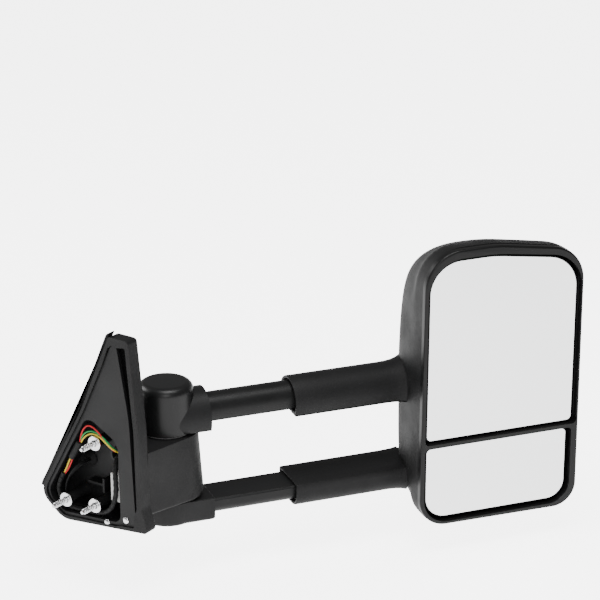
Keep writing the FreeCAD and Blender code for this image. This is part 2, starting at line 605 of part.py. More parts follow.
def build_head_housing():
    """One moulding: the shell of the head and the two sleeves that run over the arms."""
    outer, inner = shell_solid(0.0), shell_solid(dim("shell_wall"))
    start, length = dim("sleeve_start"), dim("sleeve_end") - dim("sleeve_start")
    for section in (upper_sleeve_section, lower_sleeve_section):
        outer = outer.fuse(flare(section))
    solid = outer.cut(inner)
    for section in (upper_sleeve_section, lower_sleeve_section):
        solid = solid.fuse(prism(section(), "X", start, length))
    for section in (upper_sleeve_section, lower_sleeve_section):
        solid = solid.cut(prism(section(-dim("sleeve_wall")), "X", start - 5, length + 10))
    shaped("head_housing", solid.removeSplitter(), ARM)


def build_bezel():
    """Frame round both glasses, with the bar between them."""
    front, depth = dim("bezel_front_y"), dim("bezel_depth")
    ring = prism(head_outline(0.6), "Y", front, dim("shell_rear_y") - front)
    lip = prism(head_outline(dim("shell_wall") + 0.3), "Y", front + 1, depth + 3)
    ring = ring.makeFillet(dim("bezel_edge_round"), [e for e in ring.Edges if e.BoundBox.YMax < front + 0.01])
    ring = ring.fuse(lip)
    for outline in (main_glass_outline, lower_glass_outline):
        ring = ring.cut(prism(outline(-2.9, -1.4), "Y", front - 1, 30))
    shaped("bezel", ring.removeSplitter(), ARM)


def build_wipers():
    """Rubber wipers in the mouths of the sleeves."""
    start, length = dim("sleeve_start") + dim("wiper_recess"), dim("wiper_length")
    pairs = (("upper_wiper", upper_sleeve_section, tube_section),
             ("lower_wiper", lower_sleeve_section, bar_section))
    for label, sleeve, arm in pairs:
        ring = prism(sleeve(-dim("sleeve_wall")), "X", start, length)
        shaped(label, ring.cut(prism(arm(0.4), "X", start - 1, length + 2)), ARM)


def build_head_frame():
    """Plate inside the head that ties the sleeves together and carries the glass adjusters."""
    back, thick = dim("frame_y"), dim("frame_thickness")
    outline = rounded([(268, -112, 14), (432, -112, 14), (432, 128, 24), (268, 140, 24)])
    body = new_body("head_frame", ARM)
    pad = extrude(body, "Pad", new_sketch(body, "XZ_Plane", outline, -back), "dims.frame_thickness")
    windows = [rounded([(280, 46, 6), (306, 46, 6), (306, 126, 10), (280, 126, 10)]),
               rounded([(398, 46, 6), (422, 46, 6), (422, 116, 10), (398, 116, 10)]),
               rounded([(280, -64, 6), (424, -64, 6), (424, -8, 6), (280, -8, 6)])]
    for window in windows:
        extrude(body, "Pocket", new_sketch(body, "XZ_Plane", window, -back), "dims.frame_thickness", True)
    print("head_frame: plate %.0f, with windows %.0f" % (pad.Shape.Volume, body.Tip.Shape.Volume))
    screws = []
    for x in (275.0, 322.0):
        for z in (20.0, -90.0):
            screws.append(screw(Vector(x, back - thick, z), Y_AXIS, 4.2, 2.4, 2.0, 6.5))
    shaped("frame_screws", Part.makeCompound(screws), ARM)


def build_actuator():
    """Power adjuster behind the main glass: case, cover, two motors and two jack plungers."""
    x, z = dim("main_x"), dim("main_z")
    back = dim("frame_y") - dim("frame_thickness")
    radius, depth = dim("actuator_radius"), dim("actuator_depth")
    outward = Vector(0, -1, 0)
    reach = dim("plunger_reach")
    plungers = {"tilt_plunger": Vector(x, 0, z - reach), "pan_plunger": Vector(x + reach, 0, z)}
    case = bar_of(radius, depth, Vector(x, back, z), outward)
    case = case.makeFillet(2.0, [e for e in case.Edges if e.BoundBox.YMax < back - depth + 0.01])
    case = case.cut(bar_of(radius - 2.5, depth - 4.5, Vector(x, back - 2.0, z), outward))
    for centre in plungers.values():
        case = case.cut(bar_of(4.2, 30, Vector(centre.x, back - 2.0, centre.z), outward))
    shaped("actuator_case", case, ARM)
    motors = []
    for motor_x in (x - 26.0, x - 1.0):
        can = bar_of(4.4, 20.0, Vector(motor_x, back - 6.8, z + 12), X_AXIS)
        motors.append(can.fuse(bar_of(1.0, 3.0, Vector(motor_x - 3, back - 6.8, z + 12), X_AXIS)))
    shaped("adjuster_motors", Part.makeCompound(motors), ARM)
    screws = []
    for angle in (90, 210, 330):
        cx, cz = x + 31 * math.cos(math.radians(angle)), z + 31 * math.sin(math.radians(angle))
        screws.append(screw(Vector(cx, back - depth, cz), Y_AXIS, 2.8, 1.8, 1.4, 12.0))
    shaped("actuator_screws", Part.makeCompound(screws), ARM)
    for label, centre in plungers.items():
        stem = bar_of(4.0, 10.5, Vector(centre.x, back - 6.5, centre.z), outward)
        ball_y = dim("gimbal_y") - 3.5
        ball = Part.makeSphere(2.6, Vector(centre.x, ball_y, centre.z))
        neck = bar_of(1.6, back - 16.0 - ball_y - 0.5, Vector(centre.x, back - 16.0, centre.z), outward)
        shaped(label, stem.fuse(neck).fuse(ball), ARM)


def cross(label, x, z, reach):
    """Gimbal cross: a hub with two level trunnions and two upright ones."""
    y = dim("gimbal_y")
    hub = block((x - 4, y - 2.2, z - 4), (x + 4, y + 2.2, z + 4))
    radius = dim("trunnion_radius")
    level = bar_of(radius, 2 * reach, Vector(x - reach, y, z), X_AXIS)
    upright = bar_of(radius, 2 * reach, Vector(x, y, z - reach), Z_AXIS)
    shaped(label, hub.fuse(level).fuse(upright), ARM)


def build_glasses():
    """Both glasses: silvered glass, backing plate with its gimbal bearings, cross and yoke."""
    back = dim("glass_y") + dim("glass_thickness")
    x, reach, gimbal = dim("main_x"), dim("gimbal_reach"), dim("gimbal_y")
    seat_y = dim("frame_y") - dim("frame_thickness") - dim("actuator_depth")
    glasses = (("main", main_glass_outline, dim("main_z")), ("lower", lower_glass_outline, dim("lower_z")))
    for name, outline, z in glasses:
        body = new_body(name + "_glass", ARM)
        extrude(body, "Pad", new_sketch(body, "XZ_Plane", outline(1.5), -back), "dims.glass_thickness")
        rim_y = dim("glass_y") + 0.2
        plate = prism(outline(0.7), "Y", rim_y, back + dim("backing_thickness") - rim_y)
        plate = plate.cut(prism(outline(2.3), "Y", back + 1.6, 8.0))
        plate = plate.cut(prism(outline(1.5), "Y", rim_y - 1, back - rim_y + 1))
        for side in (-1, 1):
            ear_z = z + side * (reach - 2)
            plate = plate.fuse(block((x - 3, back + 1.0, ear_z - 2), (x + 3, gimbal + 2.2, ear_z + 2)))
        plate = plate.cut(bar_of(dim("trunnion_radius") + 0.06, 40, Vector(x, gimbal, z - 20), Z_AXIS))
        if name == "main":
            for dx, dz in ((0, -dim("plunger_reach")), (dim("plunger_reach"), 0)):
                centre = Vector(x + dx, back + 0.8, z + dz)
                hollow = bar_of(3.6, 9.0, centre + Vector(0, 1.4, 0), Y_AXIS)
                plate = plate.fuse(bar_of(5.2, 6.5, centre, Y_AXIS).cut(hollow))
        shaped(name + "_backing", plate.removeSplitter(), ARM)
        cross(name + "_cross", x, z, reach)
        yoke = block((x - 9, seat_y - 1.6, z - 3), (x + 9, seat_y, z + 3))
        for side in (-1, 1):
            cheek_x = x + side * (reach - 2)
            yoke = yoke.fuse(block((cheek_x - 2, gimbal - 2.4, z - 3), (cheek_x + 2, seat_y, z + 3)))
        if name == "lower":
            frame_front = dim("frame_y") - dim("frame_thickness")
            yoke = yoke.fuse(bar_of(18.0, 2.5, Vector(x, frame_front, z), Vector(0, -1, 0)))
            yoke = yoke.fuse(bar_of(9.0, frame_front - seat_y, Vector(x, frame_front, z), Vector(0, -1, 0)))
        yoke = yoke.cut(bar_of(dim("trunnion_radius") + 0.06, 60, Vector(x - 30, gimbal, z), X_AXIS))
        shaped(name + "_yoke", yoke.removeSplitter(), ARM)


# ---------------------------------------------------------------- build and write

def check_document():
    doc.recompute()
    for item in doc.Objects:
        if "Invalid" in item.State or "Error" in item.State:
            raise RuntimeError("%s failed: %s" % (item.Label, item.State))
    for node in nodes:
        if node.Shape.isNull() or not node.Shape.isValid() or not node.Shape.Solids:
            raise RuntimeError("%s has no valid solid" % node.Label)


def write_parts():
    os.makedirs("parts", exist_ok=True)
    for node in nodes:
        node.Shape.exportStep("parts/%s.step" % node.Label)
        print("%s: %d solid(s), %.0f cubic mm" % (node.Label, len(node.Shape.Solids), node.Shape.Volume))


build_base_housing()
build_base_bracket()
build_studs()
build_base_trim()
build_harness()
build_knuckles()
build_cap()
build_arms()
build_pivot()
build_head_housing()
build_bezel()
build_wipers()
build_head_frame()
build_actuator()
build_glasses()
check_document()
write_parts()
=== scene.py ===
import bmesh
import bpy
import json
import math
from bpy.props import FloatProperty, FloatVectorProperty, PointerProperty
from mathutils import Matrix, Vector


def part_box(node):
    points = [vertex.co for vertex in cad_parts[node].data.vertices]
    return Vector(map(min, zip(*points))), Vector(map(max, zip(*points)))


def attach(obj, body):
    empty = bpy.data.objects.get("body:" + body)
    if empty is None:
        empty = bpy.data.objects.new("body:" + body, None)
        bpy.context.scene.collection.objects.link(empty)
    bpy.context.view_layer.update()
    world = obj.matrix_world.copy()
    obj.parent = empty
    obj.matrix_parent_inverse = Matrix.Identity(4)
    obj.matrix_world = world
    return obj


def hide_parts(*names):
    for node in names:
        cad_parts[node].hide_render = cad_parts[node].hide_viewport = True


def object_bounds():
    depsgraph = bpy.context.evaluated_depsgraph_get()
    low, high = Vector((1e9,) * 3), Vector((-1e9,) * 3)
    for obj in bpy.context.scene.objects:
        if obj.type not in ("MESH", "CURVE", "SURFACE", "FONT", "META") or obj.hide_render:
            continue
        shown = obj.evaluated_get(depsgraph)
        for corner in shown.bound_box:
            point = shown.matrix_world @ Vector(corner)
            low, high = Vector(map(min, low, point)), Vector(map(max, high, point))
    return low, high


bl_info = {
    "name": "Towing Mirror",
    "version": (1, 0, 0),
    "blender": (4, 5, 0),
    "location": "View3D > Sidebar > Towing Mirror",
    "description": "Builds the visible pieces of a telescoping towing mirror around its CAD frame",
    "category": "Object",
}

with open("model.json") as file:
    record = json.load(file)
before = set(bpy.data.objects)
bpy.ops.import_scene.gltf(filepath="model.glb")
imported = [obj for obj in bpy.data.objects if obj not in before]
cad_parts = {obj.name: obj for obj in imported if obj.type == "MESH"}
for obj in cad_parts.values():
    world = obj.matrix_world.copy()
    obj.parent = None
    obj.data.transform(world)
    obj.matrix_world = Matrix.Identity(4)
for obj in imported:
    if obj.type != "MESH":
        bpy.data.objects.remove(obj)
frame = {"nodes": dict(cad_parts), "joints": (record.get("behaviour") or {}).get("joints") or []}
CAD_BOUNDS = [list(corner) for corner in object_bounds()]
NODES = frame["nodes"]
JOINTS = {joint["name"]: joint for joint in frame["joints"]}
MM = 0.001

# The arm frame: origin on the fold pivot, X along the arms, Y to the mirror's front.
PIVOT = Vector(JOINTS["fold"]["pos_m"])
ARM_X = Vector(JOINTS["extend"]["axis"])
ARM_Z = Vector((0.0, 0.0, 1.0))
ARM_Y = ARM_Z.cross(ARM_X)
ARM = Matrix.Translation(PIVOT) @ Matrix((ARM_X, ARM_Y, ARM_Z)).transposed().to_4x4()


def arm_box(node):
    """Lowest and highest corner of a CAD node in the arm frame."""
    inverse = ARM.inverted()
    points = [inverse @ vertex.co for vertex in NODES[node].data.vertices]
    low = Vector([min(point[axis] for point in points) for axis in range(3)])
    high = Vector([max(point[axis] for point in points) for axis in range(3)])
    return low, high


HEAD_LOW, HEAD_HIGH = arm_box("head_housing")
BEZEL_LOW, BEZEL_HIGH = arm_box("bezel")


# ---------------------------------------------------------------- settings

class MirrorSizes(bpy.types.PropertyGroup):
    """Sizes of the shaped pieces, beyond those that the CAD frame gives."""
    shell_round: FloatProperty(name="Shell rounding", description="Radius between the shell's sides and its front",
                               default=0.032, min=0.005, unit="LENGTH")
    shell_crown: FloatProperty(name="Shell crown", description="How far the middle of the front stands out",
                               default=0.009, min=0.0, unit="LENGTH")
    shell_wall: FloatProperty(name="Shell wall", description="Wall thickness of the shell",
                              default=0.0033, min=0.001, unit="LENGTH")
    ledge_depth: FloatProperty(name="Ledge depth", description="Depth of the panel between the two front ledges",
                               default=0.0060, min=0.0, unit="LENGTH")
    sleeve_wall: FloatProperty(name="Sleeve wall", description="Wall thickness of the arm sleeves",
                               default=0.0032, min=0.001, unit="LENGTH")
    flare: FloatProperty(name="Flare", description="How far a sleeve widens where it meets the shell",
                         default=0.0065, min=0.0, unit="LENGTH")
    thread_pitch: FloatProperty(name="Thread pitch", description="Pitch of the stud threads",
                                default=0.001, min=0.0004, unit="LENGTH")
    tape_pitch: FloatProperty(name="Tape pitch", description="Distance between turns of the harness tape",
                              default=0.007, min=0.002, unit="LENGTH")


class MirrorFinish(bpy.types.PropertyGroup):
    """Colours and finishes."""
    black: FloatVectorProperty(name="Moulded black", description="Colour of the grained black plastic",
                               subtype="COLOR", default=(0.0085, 0.0085, 0.0088), min=0.0, max=1.0)
    grain_size: FloatProperty(name="Grain size", description="Size of the moulded grain",
                              default=0.0011, min=0.0002, unit="LENGTH")
    grain_depth: FloatProperty(name="Grain depth", description="Depth of the moulded grain",
                               default=0.00012, min=0.0, unit="LENGTH")
    tube_roughness: FloatProperty(name="Arm roughness", description="Roughness of the coated arms",
                                  default=0.42, min=0.0, max=1.0, subtype="FACTOR")


class StageSettings(bpy.types.PropertyGroup):
    """Camera, floor and light."""
    azimuth: FloatProperty(name="Azimuth", description="Direction of the camera about the vertical",
                           default=math.radians(-55.0), subtype="ANGLE")
    elevation: FloatProperty(name="Elevation", description="Height of the camera above the horizon",
                             default=math.radians(20.5), subtype="ANGLE")
    distance: FloatProperty(name="Distance", description="Distance from the camera to the fold pivot",
                            default=2.4, min=0.5, unit="LENGTH")
    step: FloatProperty(name="Frame step", description="Length at the pivot that one step of a 600-step frame shows",
                        default=0.00104, min=0.0001, unit="LENGTH")
    pivot_u: FloatProperty(name="Pivot across", description="Place of the pivot across the frame", default=0.2772)
    pivot_v: FloatProperty(name="Pivot down", description="Place of the pivot down the frame", default=0.7153)
    fill: FloatProperty(name="Fill", description="Strength of the soft light from all round",
                        default=0.26, min=0.0)
    floor_glow: FloatProperty(name="Floor glow", description="Light that the pale floor gives off by itself",
                              default=0.45, min=0.0)
    floor_gap: FloatProperty(name="Floor gap", description="Gap under the mirror", default=0.03, unit="LENGTH")


# ---------------------------------------------------------------- outlines

def rounded_loop(corners, per_corner=14, per_side=10):
    """Points round a closed outline (u, v, radius), the same number for any size, counter-clockwise."""
    count = len(corners)
    arcs = []
    for index, (u, v, radius) in enumerate(corners):
        here = Vector((u, v))
        back = (Vector(corners[index - 1][:2]) - here).normalized()
        ahead = (Vector(corners[(index + 1) % count][:2]) - here).normalized()
        half = back.angle(ahead) / 2
        centre = here + (back + ahead).normalized() * (radius / math.sin(half))
        start = here + back * (radius / math.tan(half)) - centre
        end = here + ahead * (radius / math.tan(half)) - centre
        sweep = start.angle_signed(end)
        points = []
        for step in range(per_corner + 1):
            points.append(centre + Matrix.Rotation(-sweep * step / per_corner, 2) @ start)
        arcs.append(points)
    loop = []
    for index in range(count):
        loop.extend(arcs[index])
        start, end = arcs[index][-1], arcs[(index + 1) % count][0]
        for step in range(1, per_side):
            loop.append(start.lerp(end, step / per_side))
    return loop


def head_corners(inset=0.0, right_draft=0.0, foot_draft=0.0, top_draft=0.0):
    """Outline of the head in X and Z of the arm frame; the drafts draw single sides in."""
    left = BEZEL_LOW.x + inset
    right = BEZEL_HIGH.x - inset - right_draft
    foot = HEAD_LOW.z + inset + foot_draft
    top = HEAD_HIGH.z - inset - top_draft
    return [(left, foot + 0.001, 0.032 - inset), (right, foot - 0.001, 0.027 - inset),
            (right - 0.001, top - 0.016, 0.042 - inset), (left + 0.082, top, 0.15),
            (left + 0.002, top - 0.001, 0.042 - inset)]


def d_loop(half, low, high, grow=0.0, points=40):
    """Section with a round top and a flat foot, in Y and Z."""
    side, base, top = half + grow, low - min(grow, 0.15 * grow), high + grow
    centre = (top * top - base * base - side * side) / (2 * (top - base))
    radius = top - centre
    start = math.atan2(base + 0.0016 - centre, math.sqrt(radius ** 2 - (base + 0.0016 - centre) ** 2))
    loop = []
    for step in range(points + 1):
        angle = start + (math.pi - 2 * start) * step / points
        loop.append(Vector((radius * math.cos(angle), centre + radius * math.sin(angle))))
    edge = loop[0].x
    foot = [(edge - 0.0002, base + 0.0006), (edge - 0.0009, base), (0.45 * edge, base)]
    right = [Vector(point) for point in foot]
    left = [Vector((-point.x, point.y)) for point in reversed(right)]
    return loop + left + right


def boat_loop(half, low, high, grow=0.0, points=14):
    """Section with a flat top whose sides turn under to a narrow keel, in Y and Z."""
    side, base, top = half + grow, low - grow, high + min(grow, 0.15 * grow)
    keel = 0.42 * side
    waist = top - 0.42 * (top - base)
    right = [Vector((0.5 * side, top)), Vector((side - 0.0024, top)), Vector((side - 0.0008, top - 0.0006)),
             Vector((side, top - 0.0022)), Vector((side, (waist + top - 0.0022) / 2))]
    for step in range(points + 1):
        angle = math.pi / 2 * step / points
        right.append(Vector((keel + (side - keel) * math.cos(angle) ** 0.9,
                             waist - (waist - base) * math.sin(angle) ** 0.9)))
    left = [Vector((-point.x, point.y)) for point in reversed(right)]
    loop = right + left
    loop.reverse()
    return loop


# Half width, lowest and highest height of each sleeve.
UPPER_SLEEVE = (0.0225, 0.0020, 0.0390)
LOWER_SLEEVE = (0.0270, -0.1030, -0.0750)


# ---------------------------------------------------------------- mesh helpers

def smoothstep(low, high, value):
    """Soft change from 0 to 1 between two values."""
    share = min(1.0, max(0.0, (value - low) / (high - low)))
    return share * share * (3.0 - 2.0 * share)


def mesh_object(name, vertices, faces, matrix=Matrix.Identity(4), smooth_angle=32.0):
    """Object with its place in the mesh, normals outwards, and shading that is sharp past an angle."""
    data = bpy.data.meshes.new(name)
    data.from_pydata([matrix @ Vector(point) for point in vertices], [], faces)
    grid = bmesh.new()
    grid.from_mesh(data)
    bmesh.ops.remove_doubles(grid, verts=grid.verts, dist=1e-6)
    bmesh.ops.recalc_face_normals(grid, faces=grid.faces)
    grid.to_mesh(data)
    grid.free()
    piece = bpy.data.objects.new(name, data)
    bpy.context.scene.collection.objects.link(piece)
    shade(data, smooth_angle)
    return piece


def shade(data, angle):
    """Smooth shading, sharp where two faces meet at more than an angle in degrees."""
    grid = bmesh.new()
    grid.from_mesh(data)
    limit = math.radians(angle)
    for face in grid.faces:
        face.smooth = True
    for edge in grid.edges:
        edge.smooth = len(edge.link_faces) == 2 and edge.calc_face_angle(0.0) < limit
    grid.to_mesh(data)
    grid.free()


def bridge(loops, closed_end=False, ring=False):
    """Vertices and quads between loops of the same length; the last loop may be filled."""
    count = len(loops[0])
    vertices = [point for loop in loops for point in loop]
    faces = []
    pairs = len(loops) if ring else len(loops) - 1
    for row in range(pairs):
        base, above = row * count, ((row + 1) % len(loops)) * count
        for step in range(count):
            after = (step + 1) % count
            faces.append((base + step, base + after, above + after, above + step))
    if closed_end:
        faces.append(tuple(range(len(vertices) - count, len(vertices))))
    return vertices, faces


def refined(node, angle=32.0, bevel=0.0):
    """Merged and smoothly shaded stand-in for a CAD node, with softened edges where a width is given."""
    data = NODES[node].data.copy()
    data.name = node + "_finished"
    grid = bmesh.new()
    grid.from_mesh(data)
    bmesh.ops.remove_doubles(grid, verts=grid.verts, dist=2e-6)
    if bevel:
        bmesh.ops.dissolve_limit(grid, angle_limit=math.radians(0.6), verts=grid.verts, edges=grid.edges)
    grid.to_mesh(data)
    grid.free()
    data.materials.clear()
    for item in list(data.attributes):
        if item.name == "custom_normal":
            data.attributes.remove(item)
    shade(data, angle)
    piece = bpy.data.objects.new(node + "_finished", data)
    bpy.context.scene.collection.objects.link(piece)
    if bevel:
        edge = piece.modifiers.new("Soft edges", "BEVEL")
        edge.width = bevel
        edge.segments = 2
        edge.limit_method = "ANGLE"
        edge.angle_limit = math.radians(angle)
        edge.use_clamp_overlap = True
        edge.harden_normals = True
        plain = bpy.data.meshes.new_from_object(piece.evaluated_get(bpy.context.evaluated_depsgraph_get()))
        piece.modifiers.clear()
        piece.data = plain
    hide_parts(node)
    return piece


def finish(piece, body, material):
    """Gives a piece its finish and its body."""
    piece.data.materials.clear()
    piece.data.materials.append(material)
    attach(piece, body)


def paint(node, material):
    """Gives a CAD node a better material."""
    mesh = NODES[node].data
    if not mesh.materials:
        mesh.materials.append(material)
    for index in range(len(mesh.materials)):
        mesh.materials[index] = material


def islands(node):
    """Vertex places of each of a CAD node's separate solids."""
    grid = bmesh.new()
    grid.from_mesh(NODES[node].data)
    bmesh.ops.remove_doubles(grid, verts=grid.verts, dist=2e-6)
    grid.verts.ensure_lookup_table()
    seen, found = set(), []
    for vertex in grid.verts:
        if vertex.index in seen:
            continue
        stack, members = [vertex], []
        seen.add(vertex.index)
        while stack:
            here = stack.pop()
            members.append(here.co.copy())
            for edge in here.link_edges:
                other = edge.other_vert(here)
                if other.index not in seen:
                    seen.add(other.index)
                    stack.append(other)
        found.append(members)
    grid.free()
    return found


# ---------------------------------------------------------------- shader groups and materials

def maths(tree, operation, *values):
    """Output of a math node whose inputs are numbers or other nodes' outputs."""
    node = tree.nodes.new("ShaderNodeMath")
    node.operation = operation
    for socket, value in zip(node.inputs, values):
        if isinstance(value, (int, float)):
            socket.default_value = value
        else:
            tree.links.new(value, socket)
    return node.outputs[0]


def shader_group(name, inputs, outputs):
    """Empty shader group with named inputs and outputs."""
    group = bpy.data.node_groups.new(name, "ShaderNodeTree")
    for label, kind, default in inputs:
        socket = group.interface.new_socket(name=label, in_out="INPUT", socket_type=kind)
        socket.default_value = default
    for label, kind in outputs:
        group.interface.new_socket(name=label, in_out="OUTPUT", socket_type=kind)
    return group, group.nodes.new("NodeGroupInput"), group.nodes.new("NodeGroupOutput")


def grain_group():
    """Moulded grain: small soft pits over a broad, faint unevenness, from object coordinates."""
    group, given, result = shader_group(
        "Moulded Grain",
        [("Size", "NodeSocketFloat", 0.0011), ("Softness", "NodeSocketFloat", 0.5)],
        [("Height", "NodeSocketFloat"), ("Mask", "NodeSocketFloat")])
    nodes, links = group.nodes, group.links
    place = nodes.new("ShaderNodeTexCoord")
    scale = maths(group, "DIVIDE", 1.0, given.outputs["Size"])
    pits = nodes.new("ShaderNodeTexVoronoi")
    pits.feature = "SMOOTH_F1"
    links.new(place.outputs["Object"], pits.inputs["Vector"])
    links.new(scale, pits.inputs["Scale"])
    links.new(given.outputs["Softness"], pits.inputs["Smoothness"])
    fine = nodes.new("ShaderNodeTexNoise")
    fine.inputs["Detail"].default_value = 3.0
    links.new(place.outputs["Object"], fine.inputs["Vector"])
    links.new(scale, fine.inputs["Scale"])
    links.new(maths(group, "ADD", pits.outputs["Distance"], fine.outputs["Fac"]), result.inputs["Height"])
    links.new(fine.outputs["Fac"], result.inputs["Mask"])
    return group


def handling_group():
    """Broad, slow change of colour and roughness, as handled and dusted plastic has."""
    group, given, result = shader_group(
        "Handling",
        [("Size", "NodeSocketFloat", 0.06), ("Low", "NodeSocketFloat", 0.4), ("High", "NodeSocketFloat", 0.5),
         ("Dark", "NodeSocketColor", (0.01, 0.01, 0.01, 1.0)), ("Light", "NodeSocketColor", (0.02, 0.02, 0.02, 1.0))],
        [("Roughness", "NodeSocketFloat"), ("Color", "NodeSocketColor")])
    nodes, links = group.nodes, group.links
    place = nodes.new("ShaderNodeTexCoord")
    scale = maths(group, "DIVIDE", 1.0, given.outputs["Size"])
    cloud = nodes.new("ShaderNodeTexNoise")
    cloud.inputs["Detail"].default_value = 4.0
    cloud.inputs["Roughness"].default_value = 0.6
    links.new(place.outputs["Object"], cloud.inputs["Vector"])
    links.new(scale, cloud.inputs["Scale"])
    spread = nodes.new("ShaderNodeMapRange")
    spread.inputs["From Min"].default_value = 0.3
    spread.inputs["From Max"].default_value = 0.7
    links.new(cloud.outputs["Fac"], spread.inputs["Value"])
    links.new(given.outputs["Low"], spread.inputs["To Min"])
    links.new(given.outputs["High"], spread.inputs["To Max"])
    links.new(spread.outputs["Result"], result.inputs["Roughness"])
    blend = nodes.new("ShaderNodeMix")
    blend.data_type = "RGBA"
    links.new(cloud.outputs["Fac"], blend.inputs["Factor"])
    links.new(given.outputs["Dark"], blend.inputs[6])
    links.new(given.outputs["Light"], blend.inputs[7])
    links.new(blend.outputs[2], result.inputs["Color"])
    return group


GROUPS = {}


def group_node(material, label):
    """Node in a material that runs one of the shared shader groups."""
    if label not in GROUPS:
        GROUPS[label] = {"grain": grain_group, "handling": handling_group}[label]()
    node = material.node_tree.nodes.new("ShaderNodeGroup")
    node.node_tree = GROUPS[label]
    return node


def surface(name, colour, rough, grain=None, spread=0.25, metallic=0.0, patch=0.05, specular=0.2, coat=0.0):
    """Material with slow colour and roughness change, and grain of a size and depth where given."""
    material = bpy.data.materials.new(name)
    material.use_nodes = True
    tree = material.node_tree
    shader = tree.nodes["Principled BSDF"]
    shader.inputs["Metallic"].default_value = metallic
    shader.inputs["Specular IOR Level"].default_value = specular
    shader.inputs["Coat Weight"].default_value = coat
    shader.inputs["Coat Roughness"].default_value = 0.25
    wear = group_node(material, "handling")
    wear.inputs["Size"].default_value = patch
    wear.inputs["Low"].default_value = max(0.03, rough * (1.0 - spread / 2))
    wear.inputs["High"].default_value = min(1.0, rough * (1.0 + spread / 2))
    wear.inputs["Dark"].default_value = [channel * (1.0 - spread) for channel in colour] + [1.0]
    wear.inputs["Light"].default_value = [min(1.0, channel * (1.0 + spread)) for channel in colour] + [1.0]
    tree.links.new(wear.outputs["Roughness"], shader.inputs["Roughness"])
    tree.links.new(wear.outputs["Color"], shader.inputs["Base Color"])
    if grain:
        size, depth = grain
        pits = group_node(material, "grain")
        pits.inputs["Size"].default_value = size
        bump = tree.nodes.new("ShaderNodeBump")
        bump.inputs["Strength"].default_value = 1.0
        bump.inputs["Distance"].default_value = depth
        tree.links.new(pits.outputs["Height"], bump.inputs["Height"])
        tree.links.new(bump.outputs["Normal"], shader.inputs["Normal"])
    return material


def mirror_glass():
    """Silvered glass: bright metal under a clear coat, with a faint unevenness."""
    material = surface("Silvered glass", (0.96, 0.97, 0.975), 0.035, None, 0.03, 1.0, 0.2, 0.5, 1.0)
    shader = material.node_tree.nodes["Principled BSDF"]
    shader.inputs["Coat Roughness"].default_value = 0.02
    return material


MATERIALS = {}


def finish_of(key):
    """The material of a name, made when it is first asked for."""
    if key in MATERIALS:
        return MATERIALS[key]
    look = bpy.context.scene.mirror_finish
    black = tuple(look.black)
    grain = (look.grain_size, look.grain_depth)
    recipes = {
        "moulded": lambda: surface("Grained black plastic", black, 0.56, grain, 0.3),
        "moulded_fine": lambda: surface("Fine black plastic", [c * 1.1 for c in black], 0.5,
                                        (look.grain_size * 0.7, look.grain_depth * 0.5), 0.3),
        "satin": lambda: surface("Satin black plastic", [c * 0.75 for c in black], 0.36,
                                 (0.0009, 0.00002), 0.25, 0.0, 0.04, 0.25, 0.03),
        "bezel": lambda: surface("Bezel black", [c * 0.8 for c in black], 0.34, (0.0008, 0.00003), 0.25),
        "arm": lambda: surface("Coated arm", [c * 0.9 for c in black], look.tube_roughness,
                               (0.0006, 0.00002), 0.3, 0.0, 0.03),
        "inner": lambda: surface("Inner black plastic", [c * 1.2 for c in black], 0.48, (0.0009, 0.00005), 0.35),
        "rubber": lambda: surface("Black rubber", [c * 0.7 for c in black], 0.72, (0.0005, 0.00003), 0.3),
        "tape": lambda: surface("Harness tape", [c * 0.9 for c in black], 0.6, (0.0005, 0.00006), 0.35, 0.0, 0.01),
        "red": lambda: surface("Red wire", (0.70, 0.035, 0.04), 0.38, (0.0006, 0.00001), 0.12, 0.0, 0.02),
        "green": lambda: surface("Green wire", (0.03, 0.36, 0.10), 0.38, (0.0006, 0.00001), 0.12, 0.0, 0.02),
        "yellow": lambda: surface("Yellow wire", (0.86, 0.66, 0.07), 0.38, (0.0006, 0.00001), 0.12, 0.0, 0.02),
        "white": lambda: surface("White nylon", (0.80, 0.80, 0.78), 0.42, (0.0008, 0.00002), 0.06, 0.0, 0.02),
        "nylon": lambda: surface("Grey nylon", (0.22, 0.22, 0.22), 0.5, (0.0008, 0.00003), 0.15, 0.0, 0.02),
        "zinc": lambda: surface("Zinc-plated steel", (0.72, 0.72, 0.73), 0.24, (0.0007, 0.00001), 0.2, 1.0, 0.006),
        "dark_steel": lambda: surface("Phosphated steel", (0.16, 0.16, 0.17), 0.42, (0.0006, 0.00002), 0.3, 1.0, 0.01),
        "glass": mirror_glass,
    }
    MATERIALS[key] = recipes[key]()
    return MATERIALS[key]


# ---------------------------------------------------------------- geometry node trees

def node_tree(name, sockets):
    """Empty geometry tree with a geometry input, named inputs and a geometry output."""
    tree = bpy.data.node_groups.new(name, "GeometryNodeTree")
    tree.interface.new_socket(name="Geometry", in_out="INPUT", socket_type="NodeSocketGeometry")
    for label, kind, default in sockets:
        socket = tree.interface.new_socket(name=label, in_out="INPUT", socket_type=kind)
        if default is not None:
            socket.default_value = default
    tree.interface.new_socket(name="Material", in_out="INPUT", socket_type="NodeSocketMaterial")
    tree.interface.new_socket(name="Geometry", in_out="OUTPUT", socket_type="NodeSocketGeometry")
    return tree, tree.nodes.new("NodeGroupInput"), tree.nodes.new("NodeGroupOutput")


def close_tree(tree, given, result, geometry):
    """Ends a tree in Realize Instances and Set Material."""
    solid = tree.nodes.new("GeometryNodeRealizeInstances")
    tree.links.new(geometry, solid.inputs["Geometry"])
    coat = tree.nodes.new("GeometryNodeSetMaterial")
    tree.links.new(solid.outputs["Geometry"], coat.inputs["Geometry"])
    tree.links.new(given.outputs["Material"], coat.inputs["Material"])
    tree.links.new(coat.outputs["Geometry"], result.inputs["Geometry"])
    return tree


